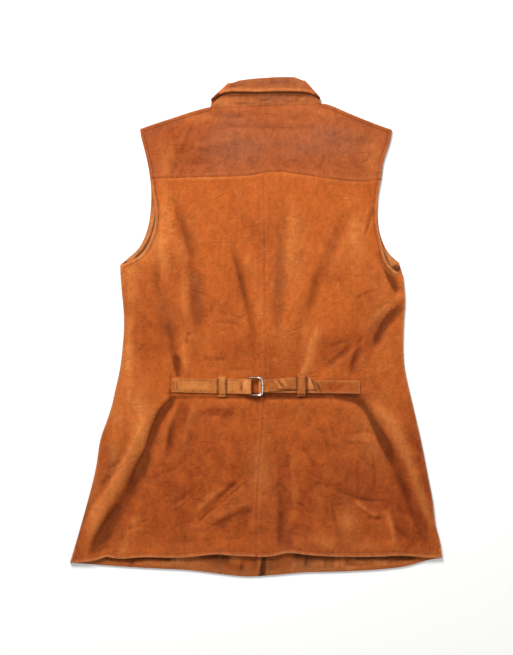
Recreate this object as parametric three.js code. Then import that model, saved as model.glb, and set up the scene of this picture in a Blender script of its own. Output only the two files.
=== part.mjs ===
// A woman's long suede vest, lying face down with its back up: yoke, two back panels, fronts, collar,
// and a half belt that runs through two belt loops and a pair of D-rings.
// Millimetres. The origin is on the surface that the vest lies on, under the middle of its outline.
// +X runs to the wearer's right, +Y to the collar, +Z up, out of the back.
import * as THREE from 'three';

// Leather, in one layer or in layers on each other
const LEATHER = 1.4;
const GAP = 0.3;
const LAYER = LEATHER + GAP;
const HEM_DEPTH = 25;
const HEM_STEP = 8;

// How the back lies on the fronts: down on them at its outline, and clear of them inside it
const LOFT = 2.0;
const EDGE_FALL = 32;
const BACK_TOP = LEATHER + GAP + LOFT + LEATHER;

// The collar's front halves lie under the fronts and lift them
const COLLAR_REACH = 48;
const COLLAR_RAMP = 50;

// Steps of the grids, across and up
const BACK_ACROSS = 20;
const SIDE_STEPS = 27;
const ARMHOLE_STEPS = 9;
const YOKE_STEPS = 7;
const SHOULDER_STEPS = 11;
const FRONT_ACROSS = 6;
const FRONT_LOW_STEPS = 5;
const FRONT_HIGH_STEPS = 6;
const NECKLINE_STEPS = 4;
const FRONT_SIDE_STEPS = 18;
const FRONT_ARMHOLE_STEPS = 12;

// Outline of the back, each row x, y. Sides and armholes run up, hems and seams to the right.
const LEFT_SIDE = [
  [-297.6, -377.6], [-283, -328], [-268.8, -276.8], [-256, -225.6], [-249.5, -180], [-239, -152],
  [-230, -125], [-225, -98], [-218, -72], [-212.5, -20], [-211, 15], [-216, 67], [-217.6, 99],
];
const RIGHT_SIDE = [
  [297.6, -369.5], [294.4, -341], [286.4, -315], [283, -280], [275, -238], [265.2, -187],
  [253.6, -136], [238.8, -72], [235.4, -40], [236.6, 10], [239, 43], [235.2, 84],
];
const LEFT_BACK_ARMHOLE = [
  [-217.6, 99], [-201, 105], [-184.6, 114], [-177.3, 121.6], [-167.5, 144], [-161.6, 165.4],
  [-161, 190.4], [-166, 215],
];
const RIGHT_BACK_ARMHOLE = [
  [235.2, 84], [226.6, 87.8], [217.9, 91.5], [211.2, 98.9], [206.9, 108], [202.6, 126.4],
  [197.4, 148.8], [193.6, 168], [193.6, 187], [195.2, 206], [197, 222],
];
const LEFT_BACK_HEM = [
  [-297.6, -377.6], [-259.2, -374.4], [-242, -367.2], [-218, -371], [-180, -368], [-121.6, -369],
  [-62.4, -363.2], [-41.6, -365.3], [0.8, -367.2],
];
const RIGHT_BACK_HEM = [
  [0.8, -367.2], [25, -367.4], [50.7, -360.6], [81.6, -364.5], [131.2, -367.4], [201.6, -367.2],
  [230.4, -365], [268.8, -368.3], [297.6, -369.5],
];
const CENTRE_SEAM = [
  [0.8, -367.2], [0.8, -309], [4, -245], [12, -130], [15.2, -53], [14.4, 75], [13.6, 160], [12.8, 247.2],
];

// Outline of the yoke
const LEFT_YOKE_SEAM = [[-168.6, 237.1], [-104, 239.2], [-17.6, 241.6], [12.8, 247.2]];
const RIGHT_YOKE_SEAM = [[12.8, 247.2], [33.6, 248.6], [68.8, 244.3], [153.6, 233], [200, 235.8]];
const LEFT_YOKE_EDGE = [[-170.5, 250], [-175, 270], [-180, 290], [-184, 303], [-185.6, 316.8]];
const RIGHT_YOKE_EDGE = [[201.6, 245], [203.2, 264], [208.5, 278], [216, 302.4], [217.6, 315.5]];
const LEFT_SHOULDER = [[-185.6, 316.8], [-163, 325], [-133, 334.4], [-104, 344], [-75.2, 352]];
const RIGHT_SHOULDER = [[110, 357.5], [122, 353.6], [144, 344], [179, 329.6], [217.6, 315.5]];
const NECK_SEAM = [[-75.2, 352], [-32, 350.4], [19.2, 353.4], [67.2, 354.8], [110, 357.5]];

// Outline of the fronts, which show past the back at the hem and in the armholes
const LEFT_FRONT_ARMHOLE = [
  [-217.6, 99], [-204.8, 110.4], [-192, 120], [-184, 130], [-172.8, 158.4], [-168.5, 187],
  [-168, 226], [-175, 270], [-184, 303], [-185.6, 316.8],
];
const RIGHT_FRONT_ARMHOLE = [
  [235.2, 84], [230.4, 101], [219.5, 111], [209.6, 120], [199, 146], [194.4, 170],
  [196, 215], [203.2, 264], [216, 302.4], [217.6, 315.5],
];
const LEFT_OUTER_HEM = [[-297.6, -377.6], [-265, -379.5], [-189, -385], [-128.8, -387.8]];
const LEFT_INNER_HEM = [[-128.8, -387.8], [-99, -390], [-35, -398], [-10, -400], [10.3, -398.6]];
const RIGHT_INNER_HEM = [[10.9, -398.4], [41.6, -396.2], [70.4, -393.2], [133.6, -391.6]];
const RIGHT_OUTER_HEM = [
  [133.6, -391.6], [195, -388.4], [246.4, -382.2], [272, -373.2], [297.6, -369.5],
];
const LEFT_OUTER_SHOULDER = [[-185.6, 316.8], [-163, 325], [-133, 334.4]];
const LEFT_INNER_SHOULDER = [[-133, 334.4], [-104, 344], [-75.2, 352]];
const RIGHT_INNER_SHOULDER = [[110, 357.5], [122, 353.6], [144, 344]];
const RIGHT_OUTER_SHOULDER = [[144, 344], [179, 329.6], [217.6, 315.5]];
const MID_FRONT = 150;
const LEFT_NECKLINE = [[14.1, 258], [-20, 268], [-48, 292], [-68, 325], [-75.2, 352]];
const RIGHT_NECKLINE = [[14.7, 258], [50, 268], [78, 294], [98, 330], [110, 357.5]];

// The largest folds of the back: how far the crest stands above the cloth, negative in a trough,
// its half width, and the crest's line, each point x, y
const FOLDS = [
  { rise: 5.0, width: 13, crest: [[-160, -120], [-186, -160], [-196, -195], [-226, -276], [-270, -340]] },
  { rise: -2.4, width: 9, crest: [[-134, -114], [-166, -147], [-176, -182], [-211, -272], [-256, -341]] },
  { rise: 3.2, width: 14, crest: [[182, -114], [206, -150], [226, -190], [250, -240], [262, -290]] },
  { rise: -2.2, width: 9, crest: [[163, -114], [192, -160], [208, -195], [226, -227], [243, -277]] },
  { rise: 2.6, width: 14, crest: [[214, 60], [192, 28], [172, -6], [164, -50]] },
  { rise: -2.0, width: 9, crest: [[224, 43], [202, 8], [181, -29], [179, -56]] },
  { rise: -1.6, width: 10, crest: [[91, 75], [75, 10], [56, -64]] },
  { rise: 1.8, width: 12, crest: [[72, 75], [54, 10], [42, -64]] },
  { rise: -1.6, width: 10, crest: [[-22, 75], [-5, 2], [-3, -56]] },
  { rise: -1.8, width: 10, crest: [[-98, 75], [-91, -6], [-98, -56]] },
  { rise: 2.2, width: 13, crest: [[-112, 66], [-110, 0], [-116, -56]] },
  { rise: -1.8, width: 9, crest: [[-130, -30], [-126, -80]] },
  { rise: -1.8, width: 10, crest: [[-128, 283], [-134, 243], [-125, 163], [-106, 123]] },
  { rise: 2.4, width: 13, crest: [[-148, 286], [-150, 240], [-142, 165], [-122, 120]] },
  { rise: 2.2, width: 12, crest: [[206, -290], [218, -320], [219, -350]] },
  { rise: 2.0, width: 14, crest: [[-20, -262], [-60, -296], [-92, -324]] },
  { rise: -1.6, width: 9, crest: [[42, -285], [35, -342]] },
  { rise: 1.8, width: 13, crest: [[96, -270], [104, -312], [116, -346]] },
];

// Half belt. The cloth under it lies level.
const BELT_LINE = -95;
const BELT_CLEAR = 24;
const BELT_RAMP = 22;
const WIRE = 2.5;
const RING_DEPTH = 20;
const RING_HALF_HEIGHT = 13.95;
const RING_CORNER = 2.5;
const RING_BOW_CORNER = 3.5;
const RING_BULGE = 1;
const LOWER_BAR_X = -12.3;
const UPPER_BAR_X = -9.3;
const RING_SIDES = 8;
const RING_STEPS = 32;

// Heights of the middle of each layer of the belt and of the rings' wire
const FIRST_LAYER = BACK_TOP + GAP + LEATHER / 2;
const SECOND_LAYER = FIRST_LAYER + LAYER;
const LOWER_RING = BACK_TOP + LAYER + GAP + WIRE / 2;
const OVER_LOWER_RING = LOWER_RING + WIRE / 2 + GAP + LEATHER / 2;
const UPPER_BOW = OVER_LOWER_RING + LEATHER / 2 + GAP + WIRE / 2;
const UPPER_BAR = LOWER_RING + WIRE + GAP;
const OVER_BARS = UPPER_BAR + WIRE / 2 + GAP + LEATHER / 2;
const TURN = WIRE / 2 + GAP + LEATHER / 2;
const LOWER_BOW_X = LOWER_BAR_X + RING_DEPTH;

// Heights of the middle of each layer of the collar, which turns round one axis at each side
const LEAF_UNDER = LEATHER / 2;
const STAND_UNDER = LEAF_UNDER + LAYER;
const STAND_BACK = STAND_UNDER + LAYER;
const LEAF_BACK = STAND_BACK + LAYER;
const COLLAR_AXIS = (LEAF_UNDER + LEAF_BACK) / 2;

// Collar, a row for each section from the left front end over the back to the right front end. The
// edge is the free edge of the leaf or the sewn edge of the stand, and the fold joins leaf and stand.
const LEAF_LEFT_FRONT = [
  { edge: [-36, 228], fold: [11, 286] },
  { edge: [-66, 275], fold: [-14, 322] },
  { edge: [-78, 318], fold: [-30, 355] },
];
const LEAF_LEFT_TURN = { edge: [-73.1, 360.2], fold: [-39.6, 391.5] };
const LEAF_BACK_ROWS = [
  { edge: [-53.5, 376.3], fold: [-33, 393.2] },
  { edge: [-30, 376], fold: [-9.6, 396.8] },
  { edge: [6.4, 375.2], fold: [14.4, 398.4] },
  { edge: [41.6, 376.8], fold: [38.4, 400] },
  { edge: [66, 376], fold: [60, 399.6] },
  { edge: [88.6, 375.3], fold: [68, 399.2] },
];
const LEAF_RIGHT_TURN = { edge: [103.4, 362.5], fold: [73.9, 395.6] };
const LEAF_RIGHT_FRONT = [
  { edge: [108, 322], fold: [60, 357] },
  { edge: [96, 275], fold: [44, 322] },
  { edge: [66, 228], fold: [17, 286] },
];
const STAND_LEFT_FRONT = [
  { edge: [12.2, 259], fold: [10.6, 284] },
  { edge: [-19, 269], fold: [-4, 302] },
  { edge: [-47, 293], fold: [-16, 324] },
  { edge: [-67, 326], fold: [-30, 354] },
];
const STAND_LEFT_TURN = { edge: [-71.6, 353], fold: [-37.2, 387] };
const STAND_BACK_ROWS = [
  { edge: [-66, 352.1], fold: [-31, 389.5] },
  { edge: [-32, 351.2], fold: [-9.6, 393.5] },
  { edge: [19.2, 354.2], fold: [19.2, 395] },
  { edge: [67.2, 355.6], fold: [50, 396] },
  { edge: [98, 357.4], fold: [67, 395] },
];
const STAND_RIGHT_TURN = { edge: [104, 358.2], fold: [72, 391.5] };
const STAND_RIGHT_FRONT = [
  { edge: [97, 331], fold: [59, 354] },
  { edge: [77, 295], fold: [45, 324] },
  { edge: [49, 269], fold: [33, 302] },
  { edge: [16.8, 259], fold: [17.4, 284] },
];
const TURN_STEPS = 4;
const COLLAR_ROWS = 3;

// Lines that the fronts are lifted round, over the collar's front halves
const LEFT_LIFT = [[-70, 345], [-70, 320], [-55, 280], [-12, 243]];
const RIGHT_LIFT = [[102, 350], [100, 322], [86, 280], [44, 243]];

// Straps and loops of the half belt
const LEFT_ANCHOR = -134.4;
const RIGHT_ANCHOR = 166.4;
const TAIL_TIP = 93;
const TAIL_SLANT = 7;
const LEFT_STRAP_WIDTH = { anchor: 21.8, ring: 24 };
const RIGHT_STRAP_WIDTH = { anchor: 21, ring: 20 };
const TAIL_WIDTH = 19.8;
const LEFT_STRAP_LINE = { anchor: -93.4, ring: -95.1 };
const RIGHT_STRAP_LINE = { anchor: -96, ring: -94.6 };
const TAIL_LINE = { ring: -94.6, loop: -90 };
const LOOP_TAB = 3;
const LOOP_FOOT = 2.2;
const LEFT_LOOP = { x: -54.4, width: 12.4, low: -106.2, high: -82.8, top: FIRST_LAYER + LEATHER / 2 };
const RIGHT_LOOP = { x: 72.8, width: 13.4, low: -105.4, high: -79.8, top: SECOND_LAYER + LEATHER / 2 };
const STRAP_ROWS = 2;

// Where the straps' stations stand along X. A climb's share is 0 in the second layer and 1 over the ring.
const LEFT_STRAP_LEVEL = [LEFT_ANCHOR, -114, -94, -74, -54, -42, -34];
const LEFT_STRAP_CLIMB = [{ x: -27, share: 0 }, { x: -21, share: 0.18 }, { x: -14, share: 0.75 }];
const LEFT_STRAP_RETURN = [-16, -24];
const LEFT_TURN_STEPS = 3;
const RIGHT_STRAP_LEVEL = [RIGHT_ANCHOR, 140, 116, 94, 72, 50, 30, 16];
const RIGHT_TURN_STEPS = 6;
const TAIL_CLIMB = [{ x: 12.5, share: 1 }, { x: 17, share: 0.6 }, { x: 22, share: 0.15 }];
const TAIL_LEVEL = [27, 40, 54, 68, 80];

const { lerp, smoothstep } = THREE.MathUtils;
const vector = (x, y, z) => new THREE.Vector3(x, y, z);

// A curve through rows of x, y, as a function of the share of its length
function edge(rows) {
  const curve = new THREE.SplineCurve(rows.map(([x, y]) => new THREE.Vector2(x, y)));
  return (t) => curve.getPointAt(t);
}

// Several edges end to end, each spread over its own number of a grid's steps
function chain(links) {
  const total = links.reduce((sum, link) => sum + link.steps, 0);
  return (t) => {
    let at = t * total;
    let i = 0;
    while (i < links.length - 1 && at > links[i].steps) {
      at -= links[i].steps;
      i += 1;
    }
    return links[i].edge(at / links[i].steps);
  };
}

const moved = (run, dx, dy) => (t) => run(t).clone().add(new THREE.Vector2(dx, dy));

// The point of a patch between four edges, which left and right run up and bottom and top run across
function patchPoint({ left, right, bottom, top }, u, v) {
  const sides = left(v).clone().lerp(right(v), u);
  const ends = bottom(u).clone().lerp(top(u), v);
  const low = bottom(0).clone().lerp(bottom(1), u);
  const high = top(0).clone().lerp(top(1), u);
  return sides.add(ends).sub(low.lerp(high, v));
}

// How far a point is from a line through rows of x, y
function distanceTo(rows, x, y) {
  let nearest = Infinity;
  for (let i = 1; i < rows.length; i += 1) {
    const [ax, ay] = rows[i - 1];
    const [bx, by] = rows[i];
    const share = ((x - ax) * (bx - ax) + (y - ay) * (by - ay)) / ((bx - ax) ** 2 + (by - ay) ** 2);
    const t = THREE.MathUtils.clamp(share, 0, 1);
    nearest = Math.min(nearest, Math.hypot(x - lerp(ax, bx, t), y - lerp(ay, by, t)));
  }
  return nearest;
}

// A closed wall from a box whose points are placed by their shares across, along and through it
function wall(across, along, place) {
  const geometry = new THREE.BoxGeometry(1, 1, 1, across, along, 1);
  const { position } = geometry.attributes;
  for (let i = 0; i < position.count; i += 1) {
    const point = place(position.getX(i) + 0.5, position.getY(i) + 0.5, position.getZ(i) + 0.5);
    position.setXYZ(i, point.x, point.y, point.z);
  }
  geometry.computeVertexNormals();
  return geometry;
}

// Underside of the fronts: on the surface, but lifted over the collar's front halves
function frontFloor(x, y) {
  const away = Math.min(distanceTo(LEFT_LIFT, x, y), distanceTo(RIGHT_LIFT, x, y));
  return LAYER * (1 - smoothstep(away, COLLAR_REACH, COLLAR_REACH + COLLAR_RAMP));
}

// Height of the folds above the cloth, none where the belt holds the cloth level
function relief(x, y) {
  const fromBelt = smoothstep(Math.abs(y - BELT_LINE), BELT_CLEAR, BELT_CLEAR + BELT_RAMP);
  const height = ({ rise, width, crest }) => rise * Math.exp(-((distanceTo(crest, x, y) / width) ** 2));
  return fromBelt * FOLDS.reduce((sum, fold) => sum + height(fold), 0);
}

// Underside of the back, which comes down onto the fronts at its outline
function backFloor(x, y, fromOutline) {
  const settle = smoothstep(fromOutline, 0, EDGE_FALL);
  return frontFloor(x, y) + LEATHER + GAP + settle * Math.max(LOFT + relief(x, y), 0);
}

// The hem is turned up, which doubles the leather there
const hemLeather = (fromHem) => LEATHER * (2 - smoothstep(fromHem, HEM_DEPTH - HEM_STEP, HEM_DEPTH));

function backPanel(edges, outline) {
  return wall(BACK_ACROSS, SIDE_STEPS + ARMHOLE_STEPS, (u, v, w) => {
    const point = patchPoint(edges, u, v);
    const floor = backFloor(point.x, point.y, point.distanceTo(outline(v)));
    return vector(point.x, point.y, floor + w * hemLeather(point.distanceTo(edges.bottom(u))));
  });
}

function yoke(edges) {
  return wall(2 * BACK_ACROSS, YOKE_STEPS, (u, v, w) => {
    const point = patchPoint(edges, u, v);
    const outline = [edges.left(v), edges.right(v), edges.top(u)];
    const fromOutline = Math.min(...outline.map((near) => point.distanceTo(near)));
    return vector(point.x, point.y, backFloor(point.x, point.y, fromOutline) + w * LEATHER);
  });
}

function frontPanel(edges, along) {
  return wall(FRONT_ACROSS, along, (u, v, w) => {
    const point = patchPoint(edges, u, v);
    return vector(point.x, point.y, frontFloor(point.x, point.y) + w * LEATHER);
  });
}

// A band of leather through stations, in even thickness. Each station has the points of its two edges,
// and may have the direction that the leather faces there.
function band(stations, rows) {
  const point = (i, v) => stations[i].from.clone().lerp(stations[i].to, v);
  const last = stations.length - 1;
  return wall(last, rows, (u, v, w) => {
    const i = Math.round(u * last);
    const onward = point(Math.min(i + 1, last), v).sub(point(Math.max(i - 1, 0), v));
    const normal = stations[i].facing
      ?? onward.cross(stations[i].to.clone().sub(stations[i].from)).normalize();
    return point(i, v).addScaledVector(normal, (w - 0.5) * LEATHER);
  });
}

// Sections of the collar that lie flat at one height, face up or face down
const level = (rows, height, up) => rows.map((row) => ({
  from: vector(...row.edge, height),
  to: vector(...row.fold, height),
  facing: vector(0, 0, up),
}));

// Sections of the collar where it turns round a crease, from one height to the other; side is -1 on the left
function collarTurn({ edge: sewn, fold }, fromHeight, toHeight, side) {
  const away = vector(side * (fold[1] - sewn[1]), -side * (fold[0] - sewn[0]), 0).normalize();
  const radius = (toHeight - fromHeight) / 2;
  const stations = [];
  for (let step = 0; step <= TURN_STEPS; step += 1) {
    const angle = (Math.PI * step) / TURN_STEPS;
    const facing = away.clone().multiplyScalar(Math.sin(angle));
    facing.z = -Math.sign(radius) * Math.cos(angle);
    const out = facing.clone().multiplyScalar(Math.abs(radius));
    out.z += COLLAR_AXIS;
    stations.push({ from: vector(...sewn, 0).add(out), to: vector(...fold, 0).add(out), facing });
  }
  return stations;
}

function collarPiece(rows, under, over) {
  return band([
    ...level(rows.leftFront, under, -1),
    ...collarTurn(rows.leftTurn, under, over, -1),
    ...level(rows.back, over, 1),
    ...collarTurn(rows.rightTurn, over, under, 1),
    ...level(rows.rightFront, under, -1),
  ], COLLAR_ROWS);
}

// One station of a strap that runs along X
function strapStation(x, line, height, width, slant = 0) {
  return {
    from: vector(x + slant / 2, line - width / 2, height),
    to: vector(x - slant / 2, line + width / 2, height),
  };
}

// Stations of a strap round a wire, between two angles from +X
function strapTurn({ x, height, reach, rise, from, to, steps }, line, width) {
  const stations = [];
  for (let step = 0; step <= steps; step += 1) {
    const angle = THREE.MathUtils.degToRad(lerp(from, to, step / steps));
    stations.push(strapStation(x + reach * Math.cos(angle), line, height + rise * Math.sin(angle), width));
  }
  return stations;
}

// Left strap: sewn down at the side, it runs over the rings' bars and back under itself
function leftStrap() {
  const share = (x) => (x - LEFT_ANCHOR) / (UPPER_BAR_X - LEFT_ANCHOR);
  const station = (x, height) => strapStation(
    x,
    lerp(LEFT_STRAP_LINE.anchor, LEFT_STRAP_LINE.ring, share(x)),
    height,
    lerp(LEFT_STRAP_WIDTH.anchor, LEFT_STRAP_WIDTH.ring, share(x)),
  );
  const { ring: line } = LEFT_STRAP_LINE;
  const { ring: width } = LEFT_STRAP_WIDTH;
  const round = { x: UPPER_BAR_X, reach: TURN, rise: TURN, steps: LEFT_TURN_STEPS };
  return band([
    ...LEFT_STRAP_LEVEL.map((x) => station(x, FIRST_LAYER)),
    ...LEFT_STRAP_CLIMB.map((step) => station(step.x, lerp(SECOND_LAYER, OVER_BARS, step.share))),
    ...strapTurn({ ...round, height: UPPER_BAR, from: 90, to: 0 }, line, width),
    ...strapTurn({ ...round, height: LOWER_RING, from: 0, to: -90 }, line, width),
    ...LEFT_STRAP_RETURN.map((x) => station(x, FIRST_LAYER)),
  ], STRAP_ROWS);
}

// Right strap: from the side under both rings, up round the lower bow, back under the upper bow, and
// over itself through the right loop to its free tip
function rightStrap() {
  const share = (x) => (RIGHT_ANCHOR - x) / (RIGHT_ANCHOR - LOWER_BOW_X);
  const under = (x) => strapStation(
    x,
    lerp(RIGHT_STRAP_LINE.anchor, RIGHT_STRAP_LINE.ring, share(x)),
    FIRST_LAYER,
    lerp(RIGHT_STRAP_WIDTH.anchor, RIGHT_STRAP_WIDTH.ring, share(x)),
  );
  const tailLine = (x) => lerp(TAIL_LINE.ring, TAIL_LINE.loop, smoothstep(x, UPPER_BAR_X, RIGHT_LOOP.x));
  const over = (x, height, slant) => strapStation(x, tailLine(x), height, TAIL_WIDTH, slant);
  const turn = {
    x: LOWER_BOW_X,
    height: LOWER_RING,
    reach: TURN + RING_BULGE,
    rise: TURN,
    from: 270,
    to: 90,
    steps: RIGHT_TURN_STEPS,
  };
  return band([
    ...RIGHT_STRAP_LEVEL.map(under),
    ...strapTurn(turn, RIGHT_STRAP_LINE.ring, RIGHT_STRAP_WIDTH.ring),
    ...TAIL_CLIMB.map((step) => over(step.x, lerp(SECOND_LAYER, OVER_LOWER_RING, step.share))),
    ...TAIL_LEVEL.map((x) => over(x, SECOND_LAYER)),
    over(TAIL_TIP, SECOND_LAYER, TAIL_SLANT),
  ], STRAP_ROWS);
}

// A belt loop over what lies between two edges, with a tab sewn to the back at each end
function beltLoop({ x, width, low, high, top }) {
  const clear = GAP + LEATHER / 2;
  const corner = (y, angle) => ({
    y: y + clear * Math.cos(THREE.MathUtils.degToRad(angle)),
    height: top + clear * Math.sin(THREE.MathUtils.degToRad(angle)),
  });
  const profile = [
    { y: low - LOOP_FOOT - LOOP_TAB, height: FIRST_LAYER },
    { y: low - LOOP_FOOT, height: FIRST_LAYER },
    ...[180, 135, 90].map((angle) => corner(low, angle)),
    ...[90, 45, 0].map((angle) => corner(high, angle)),
    { y: high + LOOP_FOOT, height: FIRST_LAYER },
    { y: high + LOOP_FOOT + LOOP_TAB, height: FIRST_LAYER },
  ];
  return band(profile.map(({ y, height }) => ({
    from: vector(x + width / 2, y, height),
    to: vector(x - width / 2, y, height),
  })), 1);
}

// A D-ring: a torus whose points follow the D's line; the bar is at barX and the bow on its right
function dRing(barX, barHeight, bowHeight) {
  const bow = RING_DEPTH - RING_BULGE;
  const side = RING_HALF_HEIGHT;
  const line = new THREE.Path();
  line.moveTo(0, side - RING_CORNER);
  line.lineTo(0, RING_CORNER - side);
  line.quadraticCurveTo(0, -side, RING_CORNER, -side);
  line.lineTo(bow - RING_BOW_CORNER, -side);
  line.quadraticCurveTo(bow, -side, bow, RING_BOW_CORNER - side);
  line.quadraticCurveTo(RING_DEPTH + RING_BULGE, 0, bow, side - RING_BOW_CORNER);
  line.quadraticCurveTo(bow, side, bow - RING_BOW_CORNER, side);
  line.lineTo(RING_CORNER, side);
  line.quadraticCurveTo(0, side, 0, side - RING_CORNER);
  const geometry = new THREE.TorusGeometry(RING_DEPTH, WIRE / 2, RING_SIDES, RING_STEPS);
  const { position } = geometry.attributes;
  for (let i = 0; i < position.count; i += 1) {
    const [x, y, z] = [position.getX(i), position.getY(i), position.getZ(i)];
    const turn = Math.round((RING_STEPS * Math.atan2(y, x)) / (2 * Math.PI));
    const share = ((turn + RING_STEPS) % RING_STEPS) / RING_STEPS;
    const centre = line.getPointAt(share);
    const tangent = line.getTangentAt(share);
    const outward = Math.hypot(x, y) - RING_DEPTH;
    position.setXYZ(
      i,
      barX + centre.x + tangent.y * outward,
      LEFT_STRAP_LINE.ring + centre.y - tangent.x * outward,
      lerp(barHeight, bowHeight, centre.x / RING_DEPTH) + z,
    );
  }
  geometry.computeVertexNormals();
  return geometry;
}

const suede = (color) => new THREE.MeshStandardMaterial({ color, roughness: 0.85, metalness: 0 });
const BACK_SUEDE = suede(0xb85f2a);
const YOKE_SUEDE = suede(0xae5d36);
const FRONT_SUEDE = suede(0xa55629);
const STRAP_SUEDE = suede(0xc9773c);
const NICKEL = new THREE.MeshStandardMaterial({ color: 0xb9b2a8, roughness: 0.3, metalness: 1 });

const vest = new THREE.Group();

function add(name, geometry, material) {
  const mesh = new THREE.Mesh(geometry, material);
  mesh.name = name;
  vest.add(mesh);
}

// Back: the yoke's lower edge and the panels' upper edges are the same seam, half a gap to each side
const leftCorner = LEFT_YOKE_SEAM[0];
const rightCorner = RIGHT_YOKE_SEAM[RIGHT_YOKE_SEAM.length - 1];
const below = ([x, y]) => [x, y - GAP / 2];
const above = ([x, y]) => [x, y + GAP / 2];
const leftOutline = chain([
  { edge: edge(LEFT_SIDE), steps: SIDE_STEPS },
  { edge: edge([...LEFT_BACK_ARMHOLE, below(leftCorner)]), steps: ARMHOLE_STEPS },
]);
const rightOutline = chain([
  { edge: edge(RIGHT_SIDE), steps: SIDE_STEPS },
  { edge: edge([...RIGHT_BACK_ARMHOLE, below(rightCorner)]), steps: ARMHOLE_STEPS },
]);
const centreSeam = edge(CENTRE_SEAM);
add('back_panel_left', backPanel({
  left: leftOutline,
  right: moved(centreSeam, -GAP / 2, 0),
  bottom: edge(LEFT_BACK_HEM),
  top: moved(edge(LEFT_YOKE_SEAM), 0, -GAP / 2),
}, leftOutline), BACK_SUEDE);
add('back_panel_right', backPanel({
  left: moved(centreSeam, GAP / 2, 0),
  right: rightOutline,
  bottom: edge(RIGHT_BACK_HEM),
  top: moved(edge(RIGHT_YOKE_SEAM), 0, -GAP / 2),
}, rightOutline), BACK_SUEDE);
add('back_yoke', yoke({
  left: edge([above(leftCorner), ...LEFT_YOKE_EDGE]),
  right: edge([above(rightCorner), ...RIGHT_YOKE_EDGE]),
  bottom: moved(chain([
    { edge: edge(LEFT_YOKE_SEAM), steps: BACK_ACROSS },
    { edge: edge(RIGHT_YOKE_SEAM), steps: BACK_ACROSS },
  ]), 0, GAP / 2),
  top: chain([
    { edge: edge(LEFT_SHOULDER), steps: SHOULDER_STEPS },
    { edge: edge(NECK_SEAM), steps: 2 * (BACK_ACROSS - SHOULDER_STEPS) },
    { edge: edge(RIGHT_SHOULDER), steps: SHOULDER_STEPS },
  ]),
}), YOKE_SUEDE);

// Fronts: on each side a panel next to the opening and a panel next to the side seam
const atMid = ([ax, ay], [bx, by]) => [lerp(ax, bx, (MID_FRONT - ay) / (by - ay)), MID_FRONT];
const frontSeam = (foot, top) => chain([
  { edge: edge([foot, atMid(foot, top)]), steps: FRONT_LOW_STEPS },
  { edge: edge([atMid(foot, top), top]), steps: FRONT_HIGH_STEPS + NECKLINE_STEPS },
]);
const opening = (foot, neckline) => chain([
  { edge: edge([foot, atMid(foot, neckline[0])]), steps: FRONT_LOW_STEPS },
  { edge: edge([atMid(foot, neckline[0]), neckline[0]]), steps: FRONT_HIGH_STEPS },
  { edge: edge(neckline), steps: NECKLINE_STEPS },
]);
const frontOutline = (side, armhole) => chain([
  { edge: edge(side), steps: FRONT_SIDE_STEPS },
  { edge: edge(armhole), steps: FRONT_ARMHOLE_STEPS },
]);
const innerRows = FRONT_LOW_STEPS + FRONT_HIGH_STEPS + NECKLINE_STEPS;
const outerRows = FRONT_SIDE_STEPS + FRONT_ARMHOLE_STEPS;
const leftSeamFoot = LEFT_INNER_HEM[0];
const rightSeamFoot = RIGHT_OUTER_HEM[0];
const leftSeamTop = LEFT_OUTER_SHOULDER[LEFT_OUTER_SHOULDER.length - 1];
const rightSeamTop = RIGHT_OUTER_SHOULDER[0];
add('front_side_left', frontPanel({
  left: frontOutline(LEFT_SIDE, LEFT_FRONT_ARMHOLE),
  right: moved(edge([leftSeamFoot, leftSeamTop]), -GAP / 2, 0),
  bottom: edge(LEFT_OUTER_HEM),
  top: edge(LEFT_OUTER_SHOULDER),
}, outerRows), FRONT_SUEDE);
add('front_center_left', frontPanel({
  left: moved(frontSeam(leftSeamFoot, leftSeamTop), GAP / 2, 0),
  right: opening(LEFT_INNER_HEM[LEFT_INNER_HEM.length - 1], LEFT_NECKLINE),
  bottom: edge(LEFT_INNER_HEM),
  top: edge(LEFT_INNER_SHOULDER),
}, innerRows), FRONT_SUEDE);
add('front_center_right', frontPanel({
  left: opening(RIGHT_INNER_HEM[0], RIGHT_NECKLINE),
  right: moved(frontSeam(rightSeamFoot, rightSeamTop), -GAP / 2, 0),
  bottom: edge(RIGHT_INNER_HEM),
  top: edge(RIGHT_INNER_SHOULDER),
}, innerRows), FRONT_SUEDE);
add('front_side_right', frontPanel({
  left: moved(edge([rightSeamFoot, rightSeamTop]), GAP / 2, 0),
  right: frontOutline(RIGHT_SIDE, RIGHT_FRONT_ARMHOLE),
  bottom: edge(RIGHT_OUTER_HEM),
  top: edge(RIGHT_OUTER_SHOULDER),
}, outerRows), FRONT_SUEDE);

// Collar
add('collar_stand', collarPiece({
  leftFront: STAND_LEFT_FRONT,
  leftTurn: STAND_LEFT_TURN,
  back: STAND_BACK_ROWS,
  rightTurn: STAND_RIGHT_TURN,
  rightFront: STAND_RIGHT_FRONT,
}, STAND_UNDER, STAND_BACK), YOKE_SUEDE);
add('collar_leaf', collarPiece({
  leftFront: LEAF_LEFT_FRONT,
  leftTurn: LEAF_LEFT_TURN,
  back: LEAF_BACK_ROWS,
  rightTurn: LEAF_RIGHT_TURN,
  rightFront: LEAF_RIGHT_FRONT,
}, LEAF_UNDER, LEAF_BACK), YOKE_SUEDE);

// Half belt
add('belt_strap_left', leftStrap(), STRAP_SUEDE);
add('belt_strap_right', rightStrap(), STRAP_SUEDE);
add('belt_loop_left', beltLoop(LEFT_LOOP), STRAP_SUEDE);
add('belt_loop_right', beltLoop(RIGHT_LOOP), STRAP_SUEDE);
add('d_ring_lower', dRing(LOWER_BAR_X, LOWER_RING, LOWER_RING), NICKEL);
add('d_ring_upper', dRing(UPPER_BAR_X, UPPER_BAR, UPPER_BOW), NICKEL);

export default vest;
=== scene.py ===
# A woman's long suede vest, lying face down with its back up, with a half belt on two D-rings.
# It is dressed from the bottom layer up: fronts, back, yoke, collar, belt, rings and stitching.
import math

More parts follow.
